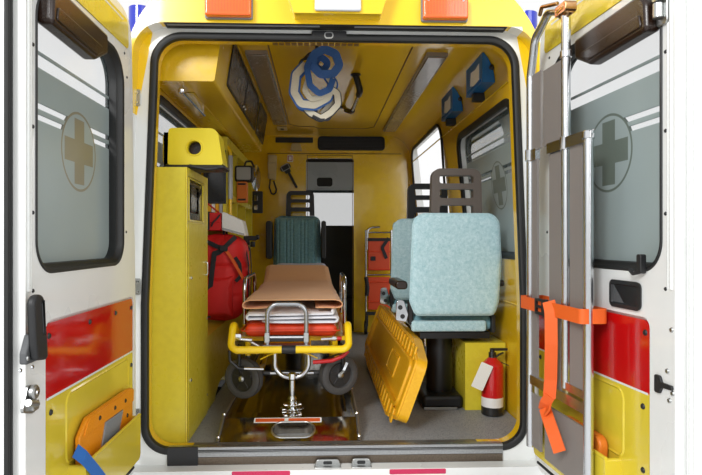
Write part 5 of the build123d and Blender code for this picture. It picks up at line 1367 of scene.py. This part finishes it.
def blown(shape, voxel=7.0, cap=10.0, frames=20):
    """A filled cover: the shape as a skin of cloth, swollen a little, with no point moved farther than the cap."""
    mesh = bpy.data.meshes.new("cover_start")
    mesh.from_pydata([Vector(v) / 1000 for v in shape[0]], [], shape[1])
    work = bmesh.new()
    work.from_mesh(mesh)
    bmesh.ops.remove_doubles(work, verts=work.verts, dist=1e-5)
    bmesh.ops.recalc_face_normals(work, faces=work.faces)
    work.to_mesh(mesh)
    work.free()
    cover = bpy.data.objects.new("cover_start", mesh)
    bpy.context.scene.collection.objects.link(cover)
    grid = cover.modifiers.new("grid", "REMESH")
    grid.mode, grid.voxel_size = "VOXEL", voxel / 1000
    skin = bpy.data.meshes.new_from_object(cover.evaluated_get(bpy.context.evaluated_depsgraph_get()))
    cover.modifiers.clear()
    cover.data = skin
    rest = [v.co.copy() for v in skin.vertices]
    cloth = cover.modifiers.new("cover", "CLOTH")
    cloth.settings.use_pressure = True
    cloth.settings.uniform_pressure_force = 4.0
    cloth.settings.effector_weights.gravity = 0.0
    cloth.point_cache.frame_start, cloth.point_cache.frame_end = 1, frames
    for frame_number in range(1, frames + 1):
        bpy.context.scene.frame_set(frame_number)
    swollen = cover.evaluated_get(bpy.context.evaluated_depsgraph_get()).data
    moved_by = [v.co - start for v, start in zip(swollen.vertices, rest)]
    verts = [(start + (step if step.length < cap / 1000 else step.normalized() * cap / 1000)) * 1000
             for start, step in zip(rest, moved_by)]
    faces = [list(p.vertices) for p in skin.polygons]
    cover.modifiers.clear()
    bpy.data.objects.remove(cover)
    bpy.context.scene.frame_set(1)
    return verts, faces


def sewn(shape, grooves, axis, face):
    """Draws seams into the face of a pad that looks along an axis: (axis, place, half width, depth) each."""
    low = min(v[axis] for v in shape[0])
    high = max(v[axis] for v in shape[0])
    middle, reach = (low + high) / 2, (high - low) / 2
    verts = []
    for v in shape[0]:
        point = Vector(v)
        share = max(0.0, min(1.0, (point[axis] - middle) * face / reach * 1.6 - 0.3))
        for along, spot, width, depth in grooves:
            point[axis] -= face * share * depth * exp(-(((v[along] - spot) / width) ** 2))
        verts.append(point)
    return verts, shape[1]


SEATS = {
    # across, backrest's rear, way it faces, top, half width, and the material of the faces behind
    "near": (608, 460, 1, 1705, 226, "pale_velour"),
    "far": (608, 1220, 1, 1705, 226, "pale_velour"),
    "head": (-278, 2790, -1, 1790, 215, "dark_velour"),
}
X_AXIS, S_AXIS, Z_AXIS = 0, 1, 2
for word, (x, back, facing, top, half, rear) in SEATS.items():
    front = sorted((back + 50 + facing * 52, back + 50 - facing * 12))
    rest = blown(pad((x - half + 8, front[0], 1206), (x + half - 8, front[1], top - 10), 28, 5, 5, 14), 7, 9)
    channels = [(X_AXIS, x + gap, 5, 6) for gap in (-96, -64, -32, 32, 64, 96)]
    channels += [(X_AXIS, x - 160, 6, 7), (X_AXIS, x + 160, 6, 7)]
    made = [piece(f"{word}_backrest_cushion", [sewn(rest, channels, S_AXIS, facing)], "dark_velour")]
    shell = [(-200, 1194, 30), (-229, 1262, 40), (-212, top - 3, 64), (218, top - 3, 64), (231, 1480, 60),
             (217, 1262, 50), (196, 1194, 30)]
    shape = outline([(x + a * half / 226, z, r) for a, z, r in shell], 8)
    depths = sorted((back + 50 - facing * 49, back + 50 - facing * 4))
    cover = piece(f"{word}_backrest_cover", [crowned(shape, *depths, 14, 3, 14)], rear)
    edge = [Vector((p.x, depths[0] + 16 if facing > 0 else depths[1] - 16, p.y)) for p in shape]
    piping = piece(f"{word}_backrest_piping", [pipe(edge, 3.2, 0, 8, True)], rear)
    seat_s = sorted((back + facing * 62 + (50 if facing < 0 else 0), back + facing * 494))
    rows = [(S_AXIS, seat_s[0] + 120, 6, 7), (X_AXIS, x - 150, 6, 7), (X_AXIS, x + 150, 6, 7)]
    seat = blown(pad((x - half + 6, seat_s[0] + 14, 1106), (x + half - 6, seat_s[1], 1180), 30, 5, 5, 14), 7, 8)
    pan = piece(f"{word}_seat_cushion", [sewn(seat, rows, Z_AXIS, 1)], "dark_velour")
    behind = seat_s[0] if facing > 0 else seat_s[1] - 30
    valance = piece(f"{word}_seat_valance", [crowned(outline(rect(x - 212, x + 172, 1103, 1160, 14)), behind,
        behind + 30, 9, 1, 4)], rear)
    for item in (*made, cover, piping, pan, valance):
        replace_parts(item, "seat_cushions")

# the stretcher's orange pad, with its welded seam
mat_x = STRETCHER_X
pad_shape = blown(pad((mat_x - 226, 340, 1112), (mat_x + 226, 2080, 1172), 28, 4, 6, 20), 9, 7)
mattress = piece("mattress_pad", [sewn(pad_shape, [(S_AXIS, 800, 7, 5), (S_AXIS, 1400, 7, 5)], Z_AXIS, 1)],
    "orange_vinyl")
welt = piece("mattress_welt", [pipe(rect(mat_x - 234, mat_x + 234, 336, 2084, 1142), 3, 24, 8, True)],
    "orange_vinyl")
for item in (mattress, welt):
    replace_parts(item, "mattress")
head_rise = moved(pad((mat_x - 212, 1540, 1192), (mat_x + 196, 2075, 1262), 32, 6, 6, 20),
                  Matrix.Translation((0, 1540, 1200)) @ Matrix.Rotation(radians(15), 4, "X")
                  @ Matrix.Translation((0, -1540, -1200)))
pillow = piece("pillow", [blown(head_rise, 8, 8)], "lilac_cotton")
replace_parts(pillow, "bedding")


def folded_cloth(name, section, stations, material, ripple=2.0, thick=3.5):
    """A cloth folded on itself: a section of (across, height) points carried through (length, shift, lift, width)."""
    line = filleted([((a, b), r) for a, b, r in section], False, 5)
    line = [p for run in zip(line, line[1:]) for p in (run[0], (run[0] + run[1]) / 2)] + [line[-1]]
    rows = []
    for (s0, *low), (s1, *high) in zip(stations, stations[1:]):
        steps = max(1, round((s1 - s0) / 22))
        rows += [(s0 + (s1 - s0) * k / steps, *(u + (v - u) * (1 - cos(pi * k / steps)) / 2
                                                for u, v in zip(low, high))) for k in range(steps)]
    rows.append(stations[-1])
    verts, faces = [], []
    for s, shift, lift, width in rows:
        for i, p in enumerate(line):
            wave = sin(p.x / 41 + s / 97) + 0.6 * sin(p.x / 17 - s / 53) + 0.4 * sin(s / 23 + i)
            verts.append(Vector((
                shift + p.x * width, s + 0.5 * ripple * sin(p.x / 29 + i / 3), lift + p.y + ripple * wave)))
    size = len(line)
    faces += [[r * size + k, r * size + k + 1, (r + 1) * size + k + 1, (r + 1) * size + k]
              for r in range(len(rows) - 1) for k in range(size - 1)]
    made = piece(name, [(verts, faces)], material, angle=180)
    wall = made.modifiers.new("thickness", "SOLIDIFY")
    wall.thickness, wall.offset = thick / 1000, 0
    soft = made.modifiers.new("soft", "SUBSURF")
    soft.levels = soft.render_levels = 1
    return made, sum(p.area for p in made.data.polygons)


blanket, area = folded_cloth("folded_blanket", [
    (105, 8, 0), (205, 7, 20), (236, 12, 14), (238, 32, 16), (205, 46, 30), (-205, 46, 30), (-236, 36, 16),
    (-236, 12, 14), (-200, 7, 20), (-95, 9, 0)],
    [(346, mat_x + 8, 1240, 1.0), (900, mat_x, 1241, 0.98), (1440, mat_x - 12, 1246, 0.97),
     (1800, mat_x - 26, 1342, 0.94)],
    "camel_wool", 2.2, 5)
sheet, area = folded_cloth("cotton_sheet", [
    (-150, 2, 0), (212, -1, 20), (232, 9, 10), (212, 20, 20), (-206, 18, 20), (-230, 30, 11), (-204, 40, 22),
    (196, 37, 22), (222, 46, 9), (190, 54, 0)],
    [(326, mat_x + 4, 1180, 0.97), (352, mat_x + 4, 1185, 1.0), (900, mat_x, 1184, 0.99),
     (1470, mat_x - 6, 1186, 0.98)],
    "white_cotton", 4.6, 11)
for item in (blanket, sheet):
    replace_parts(item, "bedding")

# the red rucksack: a full bag with pockets, straps and a carrying loop
bag = blown(pad((-800, 972, 1092), (-516, 1262, 1606), 80, 14, 10, 16), 8, 16)
creases = [(Z_AXIS, 1240, 12, 8), (Z_AXIS, 1420, 10, 10), (X_AXIS, -700, 9, 5)]
rucksack = piece("rucksack", [sewn(sewn(bag, creases, S_AXIS, -1), [(Z_AXIS, 1400, 12, 8),
    (S_AXIS, 1110, 10, 7)], X_AXIS, 1)], "red_nylon")
pocket = piece("rucksack_pocket", [blown(pad((-768, 956, 1112), (-560, 1000, 1370), 21, 6, 8, 14), 6, 8)],
    "red_nylon")
UP_REAR = (0, -1, 0)
straps = piece("rucksack_straps", [strap([(-724, 968, 1560), (-662, 952, 1532), (-620, 948, 1522)], 26, 3, 20,
    UP_REAR), strap([(-556, 962, 1588), (-590, 950, 1556), (-620, 947, 1524)], 26, 3, 20, UP_REAR),
    strap([(-676, 952, 1500), (-690, 944, 1380), (-706, 946, 1234), (-716, 968, 1120)], 28, 3, 40, UP_REAR),
    strap([(-622, 947, 1524), (-650, 950, 1500), (-680, 951, 1490)], 30, 3, 20, UP_REAR),
    strap([(-560, 962, 1470), (-532, 955, 1430), (-528, 958, 1360), (-556, 956, 1330)], 20, 3, 24, UP_REAR),
    strap([(-500, 1010, 1500), (-494, 1060, 1420), (-496, 1090, 1240), (-506, 1110, 1130)], 30, 3, 40,
    (1, 0, 0)), strap([(-506, 1200, 1560), (-492, 1180, 1400), (-500, 1190, 1180)], 26, 3, 40, (1, 0, 0)),
    pipe([(-640, 1050, 1600), (-640, 1060, 1640), (-640, 1150, 1640), (-640, 1170, 1600)], 7, 24)],
    "dark_webbing")
trim = piece("rucksack_strap_pale", [strap([(-616, 944, 1520), (-580, 940, 1470), (-540, 946, 1400),
    (-510, 960, 1340)], 16, 2.4, 40, UP_REAR)], "orange_webbing")
buckle = piece("rucksack_buckle", [block((-648, -600), (938, 950), (1504, 1540), 8)], "black_abs", bevel=3)
for item in (rucksack, pocket, straps, trim, buckle):
    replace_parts(item, "red_bag")


def seen(cx, cy, s=460):
    """Where the crop's point over the ceiling hook lies, at a length, from the photo's camera."""
    return Vector((cx * 0.803 - 908.7, s, 2532.9 - cy * 0.803))


def hung(points, lengths, width, thick, closed=False, up=UP_REAR):
    """A strap hanging in loops over the hook, from crop points and how far each lies along the van."""
    return strap([seen(x, y, s) for (x, y), s in zip(points, lengths)], width, thick, 22, up, closed)


ring = [(1010, 70), (1070, 40), (1140, 66), (1165, 130), (1126, 178), (1050, 186), (1000, 140)]
long_drop = [(1000, 70), (966, 150), (984, 262), (1040, 312), (1104, 280), (1126, 210)]
big_loop = [(960, 120), (900, 190), (888, 300), (930, 370), (1010, 376), (1090, 330), (1128, 240), (1090, 180)]
low_loop = [(1090, 262), (1150, 300), (1156, 370), (1110, 420), (1050, 456), (990, 420), (960, 390)]
inner = [(975, 210), (952, 290), (990, 345), (1050, 330), (1078, 262)]
harness = [piece("harness_blue_straps", [hung(ring, (432, 424, 430, 446, 456, 446, 436), 40, 9, True),
    hung(long_drop, (440, 426, 420, 424, 436, 450), 30, 4), hung(big_loop,
    (460, 446, 440, 442, 446, 452, 462, 470), 54, 3), hung(big_loop[::-1], (488, 492, 498, 500, 500, 496, 490,
    486), 44, 3), hung([(1040, 60), (1100, 110), (1060, 160), (1010, 120)], (470, 464, 470, 478), 34, 5, True)],
    "blue_nylon"), piece("harness_cream_straps", [hung(big_loop, (455, 441, 435, 437, 441, 447, 457, 465), 36,
    3), hung(inner, (450, 436, 432, 440, 452), 26, 4), hung(low_loop, (452, 446, 440, 444, 448, 456, 462), 30,
    3), hung([(1020, 390), (1080, 330), (1130, 270)], (474, 470, 476), 34, 3),
    hung([(1060, 420), (1118, 350), (1150, 290)], (484, 478, 482), 30, 3)], "cream_nylon"),
    piece("harness_dark_edges", [hung(low_loop, (457, 451, 445, 449, 453, 461, 467), 40, 3),
    hung([(1010, 60), (930, 90), (895, 180), (882, 262), (905, 330)], (480, 474, 470, 468, 474), 12, 6),
    hung([(1000, 440), (1050, 466), (1100, 462), (1116, 430)], (450, 446, 446, 452), 14, 4),
    pipe([seen(1020, 58, 460), seen(985, 44, 470), seen(930, 90, 490), seen(916, 160, 494)], 6, 20)],
    "dark_webbing")]
for item in harness:
    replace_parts(item, "hanging_harness")
piece("ceiling_hook_ring", [pipe([seen(1000, 46, 452), seen(1030, 46, 452), seen(1030, 70, 452),
    seen(1000, 70, 452)], 4, 9, 10, True)], "chrome_plate")

# Outside: fittings on the van's own skin
SKIN_NODES = ("rear_frame", "side_left", "side_right", "roof", "cab_body", "bonnet", "cab_door_left",
              "cab_door_right", "front_bumper", "headlamps", "grille")
skin_points, skin_faces = [], []
for name in SKIN_NODES:
    start = len(skin_points)
    skin_points += [nodes[name].matrix_world @ v.co for v in nodes[name].data.vertices]
    skin_faces += [[start + k for k in p.vertices] for p in nodes[name].data.polygons]
SKIN = BVHTree.FromPolygons(skin_points, skin_faces)
SLID = (70, -1290)  # how far the open sliding door stands out and back


def flank(side):
    """Places an outline of length and height on the van's flank, its thickness outwards."""
    def put(a, b, t):
        plain = 966 - SKIN_LEAN * max(0, b - 1200)
        hit = SKIN.ray_cast(VAN @ Vector((side * 1400, a, b)), Vector((-side, 0, 0)))[0]
        found = 1000 * side * hit.x if hit else 0
        return Vector((side * ((found if found > plain - 90 else plain) + t), a, b))
    return put


def slid(a, b, t):
    """Places an outline of length and height on the open sliding door's outer face."""
    return Vector((966 - SKIN_LEAN * max(0, b - 1200) + SLID[0] + t, a + SLID[1], b))


def nose(a, b, t):
    """Places an outline of across and height on the van's front, its thickness forwards."""
    hit = SKIN.ray_cast(VAN @ Vector((a, 6200, b)), Vector((0, -1, 0)))[0]
    return Vector((a, (VAN.inverted() @ hit).y + t, b))


def screen(a, b, t):
    """Places an outline of across and height on the windscreen's slope, its thickness outwards."""
    return Vector((a, 4170 + (2190 - b) * 0.7609 + 0.796 * t, b + 0.6055 * t))


def rounded(a, b, radius, steps=6):
    """A rounded rectangle between two pairs of limits."""
    (a0, a1), (b0, b1) = sorted(a), sorted(b)
    return outline(rect(a0, a1, b0, b1, radius), steps)


WINDOW_RUBBER = [(-15, -1), (-14, 4), (-6, 6), (3, 2), (12, -10), (12, -13), (0, -14), (-1, -1)]
CAB_WINDOW = [(3410, 1330, 60), (4330, 1330, 60), (4330, 1630, 90), (4025, 2035, 60), (3410, 2035, 60)]
for side, word in SIDE_WORD.items():
    on, cab = flank(side), f"cab_door_{word}"
    piece(f"{word}_outer_window_rubber", [hoop(outline(SIDE_WINDOW, 8), WINDOW_RUBBER, on)], "epdm_rubber")
    piece(f"{word}_cab_window_rubber", [hoop(outline(CAB_WINDOW, 8), WINDOW_RUBBER, on)], "epdm_rubber", cab)
    piece(f"{word}_cab_handle_cup", [slab(rounded((3386, 3574), (1108, 1186), 18), -3, 1.5, on)], "black_abs",
        cab, bevel=1)
    piece(f"{word}_cab_lock", [slab(rounded((3344, 3368), (1134, 1158), 11), -2, 4, on)], "zinc_plate", cab, bevel=1)
    piece(f"{word}_mirror_glass", [slab(rounded((side * 1010, side * 1170), (1372, 1696), 26), 4305, 4309.5)],
        "chrome_plate", cab, bevel=2)
    for start, end in ((150, 520), (1450, 3240)):
        piece(f"{word}_rub_strip_{start}", [slab(rounded((start, end), (648, 706), 8), -6, 9, on)], "black_abs",
            bevel=4)
    piece(f"{word}_arch_lips", [pipe([on(c + r * cos(pi * k / 24), 345 + r * sin(pi * k / 24), 0)
        for k in range(2, 23)], 7, 0, 10) for c, r in ((980, 425), (4530, 466))], "black_abs")
    piece(f"{word}_marker_lamps", [slab(rounded((s, s + 76), (716, 744), 6), -4, 8, on)
        for s in (420, 1900, 3150)], "amber_acrylic", bevel=3)
    piece(f"{word}_mud_flaps", [slab(rounded((side * 712, side * 920), (190, 420), 14), s, s + 7)
        for s in (528, 4040)], "epdm_rubber", bevel=2)
    for end, s in (("front", 4530), ("rear", 980)):
        wheel = f"wheel_{end}_{word}"
        turned = VAN @ Matrix.Translation((side * 815, s, 345)) @ Matrix.Diagonal((side, 1, 1, 1))
        piece(f"{wheel}_nuts", [spin([(11, 20), (11, 44), (8, 48), (3, 49)],
            (0, 84 * cos(pi * k / 3), 84 * sin(pi * k / 3)), "x", 6) for k in range(6)], "chrome_plate", wheel,
            turned)
        piece(f"{wheel}_cap", [spin([(34, 50), (34, 62), (28, 72), (10, 76)], (0, 0, 0), "x", 28),
            spin([(176, 96), (179, 99), (183, 99), (186, 94)], (0, 0, 0), "x", 56)], "pale_grey_abs", wheel,
            turned)
        piece(f"{wheel}_valve", [pipe([(84, 0, 150), (96, 0, 156)], 4, 0, 8)], "black_abs", wheel, turned)
    piece(f"{word}_headlamp_rings", [hoop(rounded((side * x - r, side * x + r), (850 - r, 850 + r), r * 0.98,
        8), [(0, -1), (1, 2), (6, 2), (7, -1)], nose) for x, r in ((560, 72), (735, 58))], "chrome_plate")
    piece(f"{word}_headlamp_amber", [slab(rounded((side * 815, side * 872), (772, 928), 8), -4, 1.6, nose)],
        "amber_acrylic", bevel=1)
    piece(f"{word}_fog_lamp", [hoop(rounded((side * 560 - 48, side * 560 + 48), (395, 491), 46),
        [(0, -2), (2, 3), (12, 1), (12, -2)], nose)], "black_abs")
piece("sliding_window_rubber", [hoop(rounded((1840, 2690), (1480, 2200), 90, 8), WINDOW_RUBBER, slid)],
    "epdm_rubber")
piece("sliding_handle_cup", [slab(rounded((2624, 2816), (1108, 1186), 18), -3, 1.5, slid)], "black_abs", bevel=1)
piece("fuel_flap", [slab(rounded((3080, 3220), (900, 1040), 24), -4, 1.6, flank(-1))], "white_enamel", bevel=1)
piece("windscreen_rubber", [hoop(outline([(-735, 1330, 90), (735, 1330, 90), (650, 2140, 90), (-650, 2140, 90)],
    8), [(-15, -2), (-13, 3), (-4, 5), (4, 2), (18, -12), (18, -15), (0, -15)], screen)], "epdm_rubber")
piece("scuttle_strip", [slab(rounded((-720, 720), (1280, 1316), 14), -4, 6, screen)], "black_abs", bevel=2)
piece("wipers", [shape for x in (-560, 60) for shape in (pipe([screen(x, 1300, 8), screen(x, 1300, 26),
    screen(x + 290, 1392, 24)], 8, 14), strap([screen(x + 20, 1372, 15), screen(x + 560, 1410, 15)], 12, 14, 0,
    (0, 0.8, 0.6)))], "black_abs", bevel=1)
piece("front_plate", [slab(rounded((-260, 260), (490, 600), 10), 1, 7, nose)], "white_paper", bevel=1)
piece("rear_plate", [slab(rounded((-250, 250), (428, 532), 10), -176, -172.4)], "white_paper", bevel=1)
piece("bumper_treads", [block((x, x + 190), (-152 + row * 14, -146 + row * 14), (559.6, 562.6), 2)
    for x in (-880, -660, 470, 690) for row in range(5)], "epdm_rubber", bevel=1)
piece("tail_lamp_seams", [slab(rounded((side * 881, side * 949), (z, z + 5), 1), -80.5, -78.6)
    for side in SIDE_WORD for z in (868, 985, 1030)], "black_abs")
